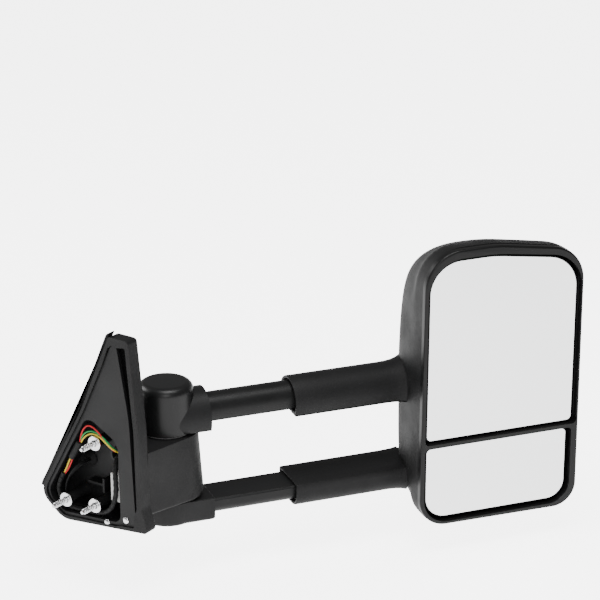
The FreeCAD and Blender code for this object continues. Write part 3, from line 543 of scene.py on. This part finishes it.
def thread_tree():
    """Threaded stud on every point, pointing along -X: core, helical thread and a dog point."""
    tree, given, result = node_tree("Threaded stud", [
        ("Radius", "NodeSocketFloat", 0.003), ("Length", "NodeSocketFloat", 0.017),
        ("Pitch", "NodeSocketFloat", 0.001), ("Tip", "NodeSocketFloat", 0.003)])
    nodes, links = tree.nodes, tree.links

    def cylinder(radius, depth, top_radius=None):
        node = nodes.new("GeometryNodeMeshCone")
        node.inputs["Vertices"].default_value = 32
        links.new(radius, node.inputs["Radius Bottom"])
        links.new(top_radius or radius, node.inputs["Radius Top"])
        links.new(depth, node.inputs["Depth"])
        return node.outputs["Mesh"]

    ridge_radius = maths(tree, "MULTIPLY", given.outputs["Pitch"], 0.34)
    core_radius = maths(tree, "SUBTRACT", given.outputs["Radius"], ridge_radius)
    plain = maths(tree, "MULTIPLY", given.outputs["Length"], 0.16)
    threaded = maths(tree, "SUBTRACT", given.outputs["Length"], plain)
    core = cylinder(core_radius, given.outputs["Length"])
    spiral = nodes.new("GeometryNodeCurveSpiral")
    spiral.inputs["Resolution"].default_value = 24
    links.new(maths(tree, "DIVIDE", threaded, given.outputs["Pitch"]), spiral.inputs["Rotations"])
    links.new(core_radius, spiral.inputs["Start Radius"])
    links.new(core_radius, spiral.inputs["End Radius"])
    links.new(threaded, spiral.inputs["Height"])
    ridge = nodes.new("GeometryNodeCurvePrimitiveCircle")
    ridge.inputs["Resolution"].default_value = 6
    links.new(ridge_radius, ridge.inputs["Radius"])
    thread = nodes.new("GeometryNodeCurveToMesh")
    links.new(spiral.outputs["Curve"], thread.inputs["Curve"])
    links.new(ridge.outputs["Curve"], thread.inputs["Profile Curve"])
    thread.inputs["Fill Caps"].default_value = True
    lift = nodes.new("ShaderNodeCombineXYZ")
    links.new(plain, lift.inputs["Z"])
    raised = nodes.new("GeometryNodeTransform")
    links.new(thread.outputs["Mesh"], raised.inputs["Geometry"])
    links.new(lift.outputs[0], raised.inputs["Translation"])
    collar = cylinder(given.outputs["Radius"], plain)
    tip_radius = maths(tree, "MULTIPLY", given.outputs["Radius"], 0.72)
    tip_end = maths(tree, "MULTIPLY", given.outputs["Radius"], 0.56)
    tip = cylinder(tip_radius, given.outputs["Tip"], tip_end)
    tip_lift = nodes.new("ShaderNodeCombineXYZ")
    links.new(given.outputs["Length"], tip_lift.inputs["Z"])
    tip_up = nodes.new("GeometryNodeTransform")
    links.new(tip, tip_up.inputs["Geometry"])
    links.new(tip_lift.outputs[0], tip_up.inputs["Translation"])
    join = nodes.new("GeometryNodeJoinGeometry")
    for part in (core, raised.outputs["Geometry"], collar, tip_up.outputs["Geometry"]):
        links.new(part, join.inputs["Geometry"])
    place = nodes.new("GeometryNodeInstanceOnPoints")
    place.inputs["Rotation"].default_value = (0.0, -math.pi / 2, 0.0)
    links.new(given.outputs["Geometry"], place.inputs["Points"])
    links.new(join.outputs["Geometry"], place.inputs["Instance"])
    return close_tree(tree, given, result, place.outputs["Instances"])


def wire_tree():
    """Round wire along a path."""
    tree, given, result = node_tree("Wire skin", [("Diameter", "NodeSocketFloat", 0.002)])
    nodes, links = tree.nodes, tree.links
    ring = nodes.new("GeometryNodeCurvePrimitiveCircle")
    ring.inputs["Resolution"].default_value = 16
    links.new(maths(tree, "MULTIPLY", given.outputs["Diameter"], 0.5), ring.inputs["Radius"])
    skin = nodes.new("GeometryNodeCurveToMesh")
    skin.inputs["Fill Caps"].default_value = True
    links.new(given.outputs["Geometry"], skin.inputs["Curve"])
    links.new(ring.outputs["Curve"], skin.inputs["Profile Curve"])
    smooth = nodes.new("GeometryNodeSetShadeSmooth")
    links.new(skin.outputs["Mesh"], smooth.inputs["Geometry"])
    return close_tree(tree, given, result, smooth.outputs["Geometry"])


def tape_tree():
    """Lapped turns of tape along a path: slanted bands at an even pitch over the sheath."""
    tree, given, result = node_tree("Tape turns", [
        ("Diameter", "NodeSocketFloat", 0.0065), ("Pitch", "NodeSocketFloat", 0.007)])
    nodes, links = tree.nodes, tree.links
    spaced = nodes.new("GeometryNodeResampleCurve")
    spaced.mode = "LENGTH"
    links.new(given.outputs["Geometry"], spaced.inputs["Curve"])
    links.new(given.outputs["Pitch"], spaced.inputs["Length"])
    points = nodes.new("GeometryNodeCurveToPoints")
    points.mode = "EVALUATED"
    links.new(spaced.outputs["Curve"], points.inputs["Curve"])
    band = nodes.new("GeometryNodeMeshCylinder")
    band.inputs["Vertices"].default_value = 20
    links.new(maths(tree, "MULTIPLY", given.outputs["Diameter"], 0.525), band.inputs["Radius"])
    links.new(maths(tree, "MULTIPLY", given.outputs["Pitch"], 0.62), band.inputs["Depth"])
    tilt = nodes.new("GeometryNodeTransform")
    tilt.inputs["Rotation"].default_value = (math.radians(14.0), 0.0, 0.0)
    links.new(band.outputs["Mesh"], tilt.inputs["Geometry"])
    place = nodes.new("GeometryNodeInstanceOnPoints")
    links.new(points.outputs["Points"], place.inputs["Points"])
    links.new(points.outputs["Rotation"], place.inputs["Rotation"])
    links.new(tilt.outputs["Geometry"], place.inputs["Instance"])
    smooth = nodes.new("GeometryNodeSetShadeSmooth")
    links.new(place.outputs["Instances"], smooth.inputs["Geometry"])
    return close_tree(tree, given, result, smooth.outputs["Geometry"])


def screw_tree():
    """Pan-head screw with a cross recess on every point, facing along -X."""
    tree, given, result = node_tree("Pan-head screw", [
        ("Radius", "NodeSocketFloat", 0.0038), ("Height", "NodeSocketFloat", 0.0019)])
    nodes, links = tree.nodes, tree.links
    head = nodes.new("GeometryNodeMeshUVSphere")
    head.inputs["Segments"].default_value = 32
    head.inputs["Rings"].default_value = 16
    head.inputs["Radius"].default_value = 1.0
    scale = nodes.new("ShaderNodeCombineXYZ")
    for axis, label in (("X", "Radius"), ("Y", "Radius"), ("Z", "Height")):
        links.new(given.outputs[label], scale.inputs[axis])
    domed = nodes.new("GeometryNodeTransform")
    links.new(head.outputs["Mesh"], domed.inputs["Geometry"])
    links.new(scale.outputs[0], domed.inputs["Scale"])
    cuts = nodes.new("GeometryNodeJoinGeometry")
    for turn in (0.0, math.pi / 2):
        bar = nodes.new("GeometryNodeMeshCube")
        bar.inputs["Size"].default_value = (0.0040, 0.0009, 0.0030)
        turned = nodes.new("GeometryNodeTransform")
        turned.inputs["Rotation"].default_value = (0.0, 0.0, turn)
        turned.inputs["Translation"].default_value = (0.0, 0.0, 0.0024)
        links.new(bar.outputs["Mesh"], turned.inputs["Geometry"])
        links.new(turned.outputs["Geometry"], cuts.inputs["Geometry"])
    carve = nodes.new("GeometryNodeMeshBoolean")
    carve.operation = "DIFFERENCE"
    links.new(domed.outputs["Geometry"], carve.inputs["Mesh 1"])
    links.new(cuts.outputs["Geometry"], carve.inputs["Mesh 2"])
    place = nodes.new("GeometryNodeInstanceOnPoints")
    place.inputs["Rotation"].default_value = (0.0, -math.pi / 2, 0.0)
    links.new(given.outputs["Geometry"], place.inputs["Points"])
    links.new(carve.outputs["Mesh"], place.inputs["Instance"])
    return close_tree(tree, given, result, place.outputs["Instances"])


TREES = {}


def grow(name, source, tree_key, material, **values):
    """Runs a geometry tree on a source object and keeps the result as a plain mesh piece."""
    if tree_key not in TREES:
        makers = {"thread": thread_tree, "wire": wire_tree, "tape": tape_tree, "screw": screw_tree}
        TREES[tree_key] = makers[tree_key]()
    tree = TREES[tree_key]
    modifier = source.modifiers.new(tree_key, "NODES")
    modifier.node_group = tree
    for socket in tree.interface.items_tree:
        if socket.item_type == "SOCKET" and socket.in_out == "INPUT":
            if socket.name in values:
                modifier[socket.identifier] = values[socket.name]
            elif socket.name == "Material":
                modifier[socket.identifier] = material
    graph = bpy.context.evaluated_depsgraph_get()
    data = bpy.data.meshes.new_from_object(source.evaluated_get(graph))
    bpy.data.objects.remove(source)
    if not data.polygons:
        raise RuntimeError("%s came out empty" % name)
    data.name = name
    piece = bpy.data.objects.new(name, data)
    bpy.context.scene.collection.objects.link(piece)
    return piece


def points_object(name, points):
    """Mesh of single points for a geometry tree."""
    data = bpy.data.meshes.new(name)
    data.from_pydata(points, [], [])
    source = bpy.data.objects.new(name, data)
    bpy.context.scene.collection.objects.link(source)
    return source


def path_object(name, points):
    """Smooth open path with the route's points as its control points."""
    curve = bpy.data.curves.new(name, "CURVE")
    curve.dimensions = "3D"
    spline = curve.splines.new("NURBS")
    spline.points.add(len(points) - 1)
    for target, point in zip(spline.points, points):
        target.co = (point[0] * MM, point[1] * MM, point[2] * MM, 1.0)
    spline.order_u = 3
    spline.use_endpoint_u = True
    spline.resolution_u = 8
    source = bpy.data.objects.new(name, curve)
    bpy.context.scene.collection.objects.link(source)
    return source


# ---------------------------------------------------------------- head

RIM_DEPTH = 0.030
RELAX_ROUNDS = 60
FRONT_DRAFT = 0.016
DRAFT_POWER = 1.8


def ledge_offset(x, z, depth):
    """How far the shell's front stands back at a place: a panel between two ledges that fades outboard."""
    reach = (x - BEZEL_LOW.x) / (BEZEL_HIGH.x - BEZEL_LOW.x)
    top_edge, foot_edge = UPPER_SLEEVE[1], LOWER_SLEEVE[2]
    upper = smoothstep(top_edge + 0.0015, top_edge - 0.0025, z) if z < top_edge + 0.0015 else 0.0
    lower = smoothstep(foot_edge - 0.0015, foot_edge + 0.0030, z)
    fade = 1.0 - smoothstep(0.35, 0.72, reach)
    band = smoothstep(top_edge - 0.0005, top_edge + 0.0015, z) * (1.0 - smoothstep(0.010, 0.050, z))
    ridge = smoothstep(foot_edge + 0.002, foot_edge - 0.0005, z) * (1.0 - smoothstep(0.0, 0.026, foot_edge - z))
    return depth * fade * (upper * lower - 0.45 * band - 0.35 * ridge)


def relax(data, start, rounds):
    """Evens out the mesh in front of a depth."""
    grid = bmesh.new()
    grid.from_mesh(data)
    soft = [vertex for vertex in grid.verts if vertex.co.y > start]
    for _ in range(rounds):
        bmesh.ops.smooth_vert(grid, verts=soft, factor=0.5, use_axis_x=True, use_axis_y=True, use_axis_z=True)
    grid.to_mesh(data)
    grid.free()


def shell_loops(sizes, inset):
    """Loops of the shell from its rear rim round the edge and over the crowned front."""
    rear, front = BEZEL_LOW.y + 0.008, HEAD_HIGH.y - inset
    radius = sizes.shell_round - inset * 0.5
    crown = sizes.shell_crown
    turn = math.radians(78.0)
    side_end = front - crown - radius * math.sin(turn)
    loops = []
    reach = front - crown - rear
    for step in range(11):
        share = step / 10
        y = rear + (side_end - rear) * share
        loops.append(loop_at(y, inset, ((y - rear) / reach) ** DRAFT_POWER))
    for step in range(1, 11):
        angle = turn * step / 10
        y = side_end + radius * math.sin(angle)
        drawn = inset + radius * (1.0 - math.cos(angle))
        loops.append(loop_at(y, drawn, ((y - rear) / reach) ** DRAFT_POWER))
    edge = loops[-1]
    centre = sum(edge, Vector()) / len(edge)
    for step in range(1, 19):
        share = 1.0 - step / 18
        y = edge[0].y + crown * (1.0 - share ** 2)
        scale = max(share, 0.012)
        flat = Vector((scale, 0.0, scale))
        loops.append([Vector((centre.x, y, centre.z)) + (point - centre) * flat for point in edge])
    return loops


def loop_at(y, inset, share):
    """Outline of the shell at a depth, drawn in towards the front on its outboard, lower and upper sides."""
    limit = min(inset, 0.0264)
    corners = head_corners(limit, 0.014 * share, 0.012 * share, 0.032 * share)
    return [Vector((point.x, y, point.y)) for point in rounded_loop(corners, 12, 9)]


def line_shell(data, wall):
    """Gives the shell its inner wall: straight past the glasses, then drawn in to a closed end."""
    grid = bmesh.new()
    grid.from_mesh(data)
    centre = Vector(((BEZEL_LOW.x + BEZEL_HIGH.x) / 2, 0.0, (HEAD_LOW.z + HEAD_HIGH.z) / 2))
    half_x, half_z = (BEZEL_HIGH.x - BEZEL_LOW.x) / 2, (HEAD_HIGH.z - HEAD_LOW.z) / 2
    edges = [edge for edge in grid.edges if edge.is_boundary]
    past_glass, end = BEZEL_LOW.y + 0.037, HEAD_HIGH.y - 0.016
    for depth, in_x, in_z in ((None, wall, wall), (past_glass, 0.0020, 0.0040), (end, 0.024, 0.034)):
        made = bmesh.ops.extrude_edge_only(grid, edges=edges)["geom"]
        for item in made:
            if isinstance(item, bmesh.types.BMVert):
                item.co.x += (centre.x - item.co.x) * in_x / half_x
                item.co.z += (centre.z - item.co.z) * in_z / half_z
                if depth is not None:
                    item.co.y = depth
        edges = [item for item in made if isinstance(item, bmesh.types.BMEdge) and item.is_boundary]
    bmesh.ops.edgeloop_fill(grid, edges=edges)
    bmesh.ops.recalc_face_normals(grid, faces=grid.faces)
    grid.to_mesh(data)
    grid.free()


def open_for_arms(shell, wall):
    """Cuts the two ways through the shell's inboard side in which the arms run."""
    start, end = HEAD_LOW.x + 0.090, HEAD_LOW.x + 0.190
    for section, (half, low, high) in ((d_loop, UPPER_SLEEVE), (boat_loop, LOWER_SLEEVE)):
        points = [(x, point.x, point.y) for point in section(half, low, high, -wall) for x in (start, end)]
        cutter = mesh_object("arm_way", points, [])
        solid = bmesh.new()
        solid.from_mesh(cutter.data)
        bmesh.ops.remove_doubles(solid, verts=solid.verts, dist=0.0002)
        bmesh.ops.convex_hull(solid, input=solid.verts)
        bmesh.ops.recalc_face_normals(solid, faces=solid.faces)
        solid.to_mesh(cutter.data)
        solid.free()
        cut = shell.modifiers.new("Arm way", "BOOLEAN")
        cut.operation = "DIFFERENCE"
        cut.solver = "EXACT"
        cut.object = cutter
        data = bpy.data.meshes.new_from_object(shell.evaluated_get(bpy.context.evaluated_depsgraph_get()))
        shell.modifiers.clear()
        shell.data = data
        bpy.data.objects.remove(cutter)


class TOWMIRROR_OT_shell(bpy.types.Operator):
    """Builds the head's shell with its crowned front and the two ledges that carry on from the sleeves"""
    bl_idname = "tow_mirror.shell"
    bl_label = "Head shell"

    def execute(self, context):
        sizes = context.scene.mirror_sizes
        outer_points, outer_faces = bridge(shell_loops(sizes, 0.0), closed_end=True)
        outer = mesh_object("head_shell", outer_points, outer_faces, smooth_angle=60.0)
        relax(outer.data, BEZEL_LOW.y + RIM_DEPTH, RELAX_ROUNDS)
        refine = outer.modifiers.new("Refine", "SUBSURF")
        refine.levels = 2
        refine.render_levels = 2
        refine.boundary_smooth = "PRESERVE_CORNERS"
        graph = context.evaluated_depsgraph_get()
        dense = bpy.data.meshes.new_from_object(outer.evaluated_get(graph))
        outer.modifiers.clear()
        front_start = HEAD_HIGH.y - 0.045
        for vertex in dense.vertices:
            near = smoothstep(front_start, front_start + 0.028, vertex.co.y)
            vertex.co.y -= near * ledge_offset(vertex.co.x, vertex.co.z, sizes.ledge_depth)
        line_shell(dense, sizes.shell_wall)
        outer.data = dense
        open_for_arms(outer, sizes.sleeve_wall)
        dense = outer.data
        dense.transform(ARM)
        shade(dense, 50.0)
        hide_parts("head_housing")
        finish(outer, "head", finish_of("moulded"))
        return {"FINISHED"}


def sleeve_piece(name, section, size, flare, sizes):
    """Hollow sleeve with a rounded mouth that flares into the shell."""
    wall = sizes.sleeve_wall
    start, wall_x = HEAD_LOW.x, BEZEL_LOW.x
    half, low, high = size
    lip = 0.0009
    stations = [(start, -lip), (start + lip * 0.4, -lip * 0.3), (start + lip * 1.6, 0.0),
                (start + 0.03, 0.0), (wall_x - 0.060, 0.0), (wall_x - 0.026, 0.0)]
    for step in range(1, 11):
        share = step / 10
        stations.append((wall_x - 0.026 + 0.0275 * share, flare * share ** 3.2))
    reach = HEAD_HIGH.y - BEZEL_LOW.y
    loops = []
    for x, grow in stations:
        follow = FRONT_DRAFT * smoothstep(wall_x - 0.040, wall_x, x)
        loop = []
        for point in section(half, low, high, grow):
            share = max(0.0, (point.x - BEZEL_LOW.y) / reach)
            loop.append(Vector((x + follow * share ** DRAFT_POWER, point.x, point.y)))
        loops.append(loop)
    inner_x = [start + 0.0006, start + 0.0030, start + 0.010, wall_x, wall_x + 0.060]
    inside = []
    for x in inner_x:
        gap = -wall if x > start + 0.001 else -wall + 0.0006
        inside.append([Vector((x, point.x, point.y)) for point in section(half, low, high, gap)])
    tail = [Vector((wall_x + 0.060, point.x, point.y)) for point in section(half, low, high, 0.0)]
    back = [Vector((wall_x + 0.002, point.x, point.y)) for point in section(half, low, high, 0.0)]
    order = loops + [back, tail] + list(reversed(inside))
    vertices, faces = bridge(order, ring=True)
    return mesh_object(name, vertices, faces, ARM, 28.0)


class TOWMIRROR_OT_sleeves(bpy.types.Operator):
    """Builds the two sleeves that slide over the arms, each with a flare into the shell"""
    bl_idname = "tow_mirror.sleeves"
    bl_label = "Arm sleeves"

    def execute(self, context):
        sizes = context.scene.mirror_sizes
        pieces = (("upper_sleeve", d_loop, UPPER_SLEEVE, sizes.flare),
                  ("lower_sleeve", boat_loop, LOWER_SLEEVE, 0.4 * sizes.flare))
        for name, section, size, flare in pieces:
            sleeve = sleeve_piece(name, section, size, flare, sizes)
            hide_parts("head_housing")
            finish(sleeve, "head", finish_of("moulded"))
        return {"FINISHED"}


class TOWMIRROR_OT_bezel(bpy.types.Operator):
    """Finishes the bezel: a copy of the CAD frame with the bar between the glasses, its edges softened"""
    bl_idname = "tow_mirror.bezel"
    bl_label = "Bezel"

    def execute(self, context):
        piece = refined("bezel", 30.0, 0.0007)
        finish(piece, "head", finish_of("bezel"))
        return {"FINISHED"}


class TOWMIRROR_OT_glasses(bpy.types.Operator):
    """Finishes both silvered glasses and their backing plates"""
    bl_idname = "tow_mirror.glasses"
    bl_label = "Glasses"

    def execute(self, context):
        for name, body in (("main", "main_mirror"), ("lower", "lower_mirror")):
            glass = refined(name + "_glass", 20.0)
            finish(glass, body, finish_of("glass"))
            backing = refined(name + "_backing", 30.0)
            finish(backing, body, finish_of("inner"))
        return {"FINISHED"}


# ---------------------------------------------------------------- arms, pivot and base

class TOWMIRROR_OT_arms(bpy.types.Operator):
    """Finishes the knuckles, the pivot cap, the two arms and what slides on them"""
    bl_idname = "tow_mirror.arms"
    bl_label = "Arms and knuckles"

    def execute(self, context):
        looks = (("upper_knuckle", "textured_black", "moulded_fine", 0.0004),
                 ("lower_knuckle", "textured_black", "moulded_fine", 0.0004),
                 ("pivot_cap", "satin_black", "satin", 0.0003),
                 ("upper_tube", "arm_black", "arm", 0.0004), ("lower_bar", "arm_black", "arm", 0.0004))
        for node, slot, key, bevel in looks:
            finish(refined(node, 30.0, bevel), "arms", finish_of(key))
        for node in ("upper_wiper", "lower_wiper"):
            finish(refined(node, 30.0, 0.0003), "head", finish_of("rubber"))
        return {"FINISHED"}


class TOWMIRROR_OT_base(bpy.types.Operator):
    """Finishes the sail housing, the inner bracket, the pillar seal and the grommet"""
    bl_idname = "tow_mirror.base"
    bl_label = "Door base"

    def execute(self, context):
        looks = (("base_housing", "textured_black", "moulded", 0.0004),
                 ("base_bracket", "bracket_black", "inner", 0.0003),
                 ("pillar_seal", "black_rubber", "rubber", 0.0008),
                 ("wire_grommet", "black_rubber", "rubber", 0.0003),
                 ("stud_flanges", "zinc_steel", "zinc", 0.0002),
                 ("connector", "white_nylon", "white", 0.0002),
                 ("splice_sleeve", "sheath_black", "tape", 0.0))
        for node, slot, key, bevel in looks:
            finish(refined(node, 30.0, bevel), "base", finish_of(key))
        return {"FINISHED"}


class TOWMIRROR_OT_fasteners(bpy.types.Operator):
    """Builds the threaded studs and the bracket screws"""
    bl_idname = "tow_mirror.fasteners"
    bl_label = "Studs and screws"

    def execute(self, context):
        sizes = context.scene.mirror_sizes
        roots, screws = [], []
        for members in islands("mounting_studs"):
            middle = sum(members, Vector()) / len(members)
            roots.append(Vector((0.0, middle.y, middle.z)))
        for members in islands("bracket_screws"):
            low_y, high_y = min(p.y for p in members), max(p.y for p in members)
            low_z, high_z = min(p.z for p in members), max(p.z for p in members)
            screws.append(Vector((0.0, (low_y + high_y) / 2, (low_z + high_z) / 2)))
        length = -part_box("mounting_studs")[0].x
        studs = grow("threaded_studs", points_object("stud_points", roots), "thread", finish_of("zinc"),
                     Length=length - 0.003, Pitch=sizes.thread_pitch)
        shade(studs.data, 40.0)
        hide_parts("mounting_studs")
        finish(studs, "base", finish_of("zinc"))
        heads = grow("screw_heads", points_object("screw_points", screws), "screw", finish_of("zinc"))
        shade(heads.data, 35.0)
        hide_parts("bracket_screws")
        finish(heads, "base", finish_of("zinc"))
        return {"FINISHED"}


HARNESS = {
    "harness_sheath": (5.0, "tape", "sheath_black", [
        (27, -20, -12), (18, -20, -12.2), (9.6, -21.2, -16), (3.8, -24, -27), (3.1, -25, -36),
        (3.1, -25.5, -45), (3.1, -24.5, -54), (3.4, -21, -65), (4.2, -14, -74), (5, -4, -79.4),
        (5.6, 8, -81.5), (6, 20, -82.8), (6, 32, -83.6), (6, 42.6, -83.4), (6, 50, -79), (6, 55.5, -69),
        (6, 53.2, -57.5), (5.5, 47.4, -47.5)]),
    "red_wire": (1.7, "red", "wire_red", [
        (13, -17, -9), (6, -14.5, -2), (3, -10.5, 7), (2.2, -4, 13.8), (2, 3, 17.8), (2, 9.6, 17.6),
        (2.6, 15, 12.4), (3.4, 19.4, 5), (4, 22, -5)]),
    "green_wire": (1.7, "green", "wire_green", [
        (13, -20.5, -8), (6, -17.8, -1), (3, -12.6, 7), (3, -6, 10.6), (3, 2, 12.2), (3, 9, 10.9),
        (3.4, 15.2, 6.6), (4, 19.6, 0.6), (4.6, 22.6, -5.4)]),
    "yellow_wire": (1.7, "yellow", "wire_yellow", [
        (14, -22.5, -10), (6, -20.2, -4), (3.2, -14.4, 2.2), (3, -7.6, 7.1), (3, 0, 9.6), (3, 8, 8),
        (3.4, 14, 3.6), (4, 18.6, -1.6), (5, 21.6, -6.4)]),
    "yellow_tail": (1.7, "yellow", "wire_yellow", [
        (3.8, 34.8, -25), (4.4, 38.4, -31.5), (5, 42, -39), (5.4, 46, -46.4)]),
    "red_tail": (1.7, "red", "wire_red", [
        (4.6, 32.8, -26), (5, 36.2, -33), (5.4, 40.2, -40.5), (5.6, 45, -47)]),
    "mirror_lead": (2.4, "tape", "sheath_black", [
        (37, 33, -38.25), (24, 33, -38.25), (17, 36.5, -41.5), (14, 43, -49), (13, 48, -58),
        (13, 51.5, -67), (13.5, 50.8, -76), (14, 45, -83.2), (14, 36, -84), (14, 24, -82.8)]),
    "motor_lead": (2.4, "tape", "sheath_black", [
        (37, 33, -35.75), (25, 33, -35.75), (15, 35.6, -38.4), (11.5, 40.5, -45), (10.8, 46, -54.5),
        (10.8, 49.2, -64), (11, 49.4, -72), (11, 47, -80.5), (11, 40, -83), (11, 30, -82.2),
        (11, 20, -80.8)]),
}


class TOWMIRROR_OT_wiring(bpy.types.Operator):
    """Lays the harness, its tape turns and the coloured wires along their routes"""
    bl_idname = "tow_mirror.wiring"
    bl_label = "Wiring"

    def execute(self, context):
        sizes = context.scene.mirror_sizes
        for node, (diameter, key, slot, points) in HARNESS.items():
            wire = grow(node + "_run", path_object(node + "_path", points), "wire", finish_of(key),
                        Diameter=diameter * MM)
            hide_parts(node)
            finish(wire, "base", finish_of(key))
        diameter, key, slot, points = HARNESS["harness_sheath"]
        turns = grow("tape_turns", path_object("tape_path", points), "tape", finish_of(key),
                     Diameter=diameter * MM, Pitch=sizes.tape_pitch)
        shade(turns.data, 35.0)
        finish(turns, "base", finish_of(key))
        return {"FINISHED"}


class TOWMIRROR_OT_inner(bpy.types.Operator):
    """Gives the inner mechanism its materials"""
    bl_idname = "tow_mirror.inner"
    bl_label = "Inner mechanism"

    def execute(self, context):
        looks = {
            "nylon": ("upper_glide", "lower_glide", "upper_washer", "lower_washer", "main_yoke", "lower_yoke",
                      "tilt_plunger", "pan_plunger", "main_cross", "lower_cross"),
            "inner": ("head_frame", "actuator_case"),
            "dark_steel": ("pivot_shaft", "pivot_spring", "spring_seat", "arm_screws", "adjuster_motors"),
            "zinc": ("pivot_nut", "frame_screws", "actuator_screws"),
        }
        for key, members in looks.items():
            for node in members:
                paint(node, finish_of(key))
        return {"FINISHED"}


# ---------------------------------------------------------------- stage

def plain_material(name, colour, rough, glow):
    """Even material that glows, more so where the camera or a mirror sees it."""
    material = bpy.data.materials.new(name)
    material.use_nodes = True
    shader = material.node_tree.nodes["Principled BSDF"]
    shader.inputs["Base Color"].default_value = (*colour, 1.0)
    shader.inputs["Roughness"].default_value = rough
    shader.inputs["Specular IOR Level"].default_value = 0.0
    shader.inputs["Emission Color"].default_value = (1.0, 1.0, 1.0, 1.0)
    tree = material.node_tree
    path = tree.nodes.new("ShaderNodeLightPath")
    strength = glow
    for label, extra in (("Is Camera Ray", 4.6), ("Is Glossy Ray", 1.5)):
        strength = maths(tree, "MULTIPLY_ADD", path.outputs[label], extra, strength)
    tree.links.new(strength, shader.inputs["Emission Strength"])
    return material


def white_world(tree, fill):
    """White where the camera looks past the floor, and a weaker soft fill for everything else."""
    sky = tree.nodes["Background"]
    sky.inputs["Color"].default_value = (1.0, 1.0, 1.0, 1.0)
    path = tree.nodes.new("ShaderNodeLightPath")
    seen = maths(tree, "MULTIPLY_ADD", path.outputs["Is Camera Ray"], 3.0, fill)
    tree.links.new(seen, sky.inputs["Strength"])


def area_light(name, place, target, size, power):
    """Rectangular soft light turned towards a target."""
    light = bpy.data.lights.new(name, "AREA")
    light.shape = "RECTANGLE"
    light.size, light.size_y = size
    light.energy = power
    lamp = bpy.data.objects.new(name, light)
    lamp.location = place
    lamp.rotation_euler = (Vector(target) - Vector(place)).to_track_quat("-Z", "Y").to_euler()
    bpy.context.scene.collection.objects.link(lamp)


class TOWMIRROR_OT_stage(bpy.types.Operator):
    """Sets the camera, the pale floor and the soft studio light"""
    bl_idname = "tow_mirror.stage"
    bl_label = "Stage"

    def execute(self, context):
        stage = context.scene.mirror_stage
        back = Vector((math.sin(stage.azimuth) * math.cos(stage.elevation),
                       -math.cos(stage.azimuth) * math.cos(stage.elevation), math.sin(stage.elevation)))
        right = Vector((math.cos(stage.azimuth), math.sin(stage.azimuth), 0.0))
        up = back.cross(right)
        camera = bpy.data.cameras.new("studio_camera")
        camera.sensor_width = 36.0
        camera.lens = 36.0 * stage.distance / (600 * stage.step)
        camera.clip_end = 50.0
        camera.dof.use_dof = False
        eye = bpy.data.objects.new("studio_camera", camera)
        across = (stage.pivot_u - 0.5) * 600 * stage.step
        down = (stage.pivot_v - 0.5) * 600 * stage.step
        pivot = Vector((PIVOT.x, PIVOT.y, 0.0))
        place = pivot + back * stage.distance - right * across + up * down
        eye.matrix_world = Matrix.Translation(place) @ Matrix((right, up, back)).transposed().to_4x4()
        context.scene.collection.objects.link(eye)
        context.scene.camera = eye

        low = Vector(CAD_BOUNDS[0])
        size = 60.0
        floor_z = low.z - stage.floor_gap
        corners = [(-size, -size, floor_z), (size, -size, floor_z), (size, size, floor_z), (-size, size, floor_z)]
        floor = mesh_object("floor", corners, [(0, 1, 2, 3)])
        floor.data.materials.append(plain_material("Pale floor", (0.95, 0.95, 0.95), 0.9, stage.floor_glow))

        world = bpy.data.worlds.new("studio_world")
        context.scene.world = world
        world.use_nodes = True
        white_world(world.node_tree, stage.fill)
        middle = (0.25, -0.15, 0.0)
        area_light("overhead", (0.0, -0.4, 1.5), middle, (0.9, 0.7), 20.0)
        area_light("key", (-1.3, -1.2, 1.0), middle, (0.7, 0.9), 14.0)
        area_light("rim", (-0.1, 1.5, 0.9), middle, (0.9, 0.6), 14.0)
        return {"FINISHED"}


class TOWMIRROR_PT_panel(bpy.types.Panel):
    """Panel that lists the sizes, finishes and building steps"""
    bl_idname = "TOWMIRROR_PT_panel"
    bl_label = "Towing Mirror"
    bl_space_type = "VIEW_3D"
    bl_region_type = "UI"
    bl_category = "Towing Mirror"

    def draw(self, context):
        for settings in (context.scene.mirror_sizes, context.scene.mirror_finish, context.scene.mirror_stage):
            box = self.layout.box()
            for name in settings.__annotations__:
                box.prop(settings, name)
        for step in STEPS:
            self.layout.operator(step.bl_idname)


STEPS = (TOWMIRROR_OT_stage, TOWMIRROR_OT_wiring, TOWMIRROR_OT_shell, TOWMIRROR_OT_sleeves, TOWMIRROR_OT_bezel,
         TOWMIRROR_OT_glasses, TOWMIRROR_OT_arms, TOWMIRROR_OT_base, TOWMIRROR_OT_fasteners, TOWMIRROR_OT_inner)
CLASSES = (MirrorSizes, MirrorFinish, StageSettings) + STEPS + (TOWMIRROR_PT_panel,)


def register():
    for item in CLASSES:
        bpy.utils.register_class(item)
    bpy.types.Scene.mirror_sizes = PointerProperty(type=MirrorSizes)
    bpy.types.Scene.mirror_finish = PointerProperty(type=MirrorFinish)
    bpy.types.Scene.mirror_stage = PointerProperty(type=StageSettings)


def unregister():
    del bpy.types.Scene.mirror_stage
    del bpy.types.Scene.mirror_finish
    del bpy.types.Scene.mirror_sizes
    for item in reversed(CLASSES):
        bpy.utils.unregister_class(item)


def main():
    register()
    for step in STEPS:
        group, name = step.bl_idname.split(".")
        getattr(getattr(bpy.ops, group), name)()


if __name__ == "__main__":
    main()
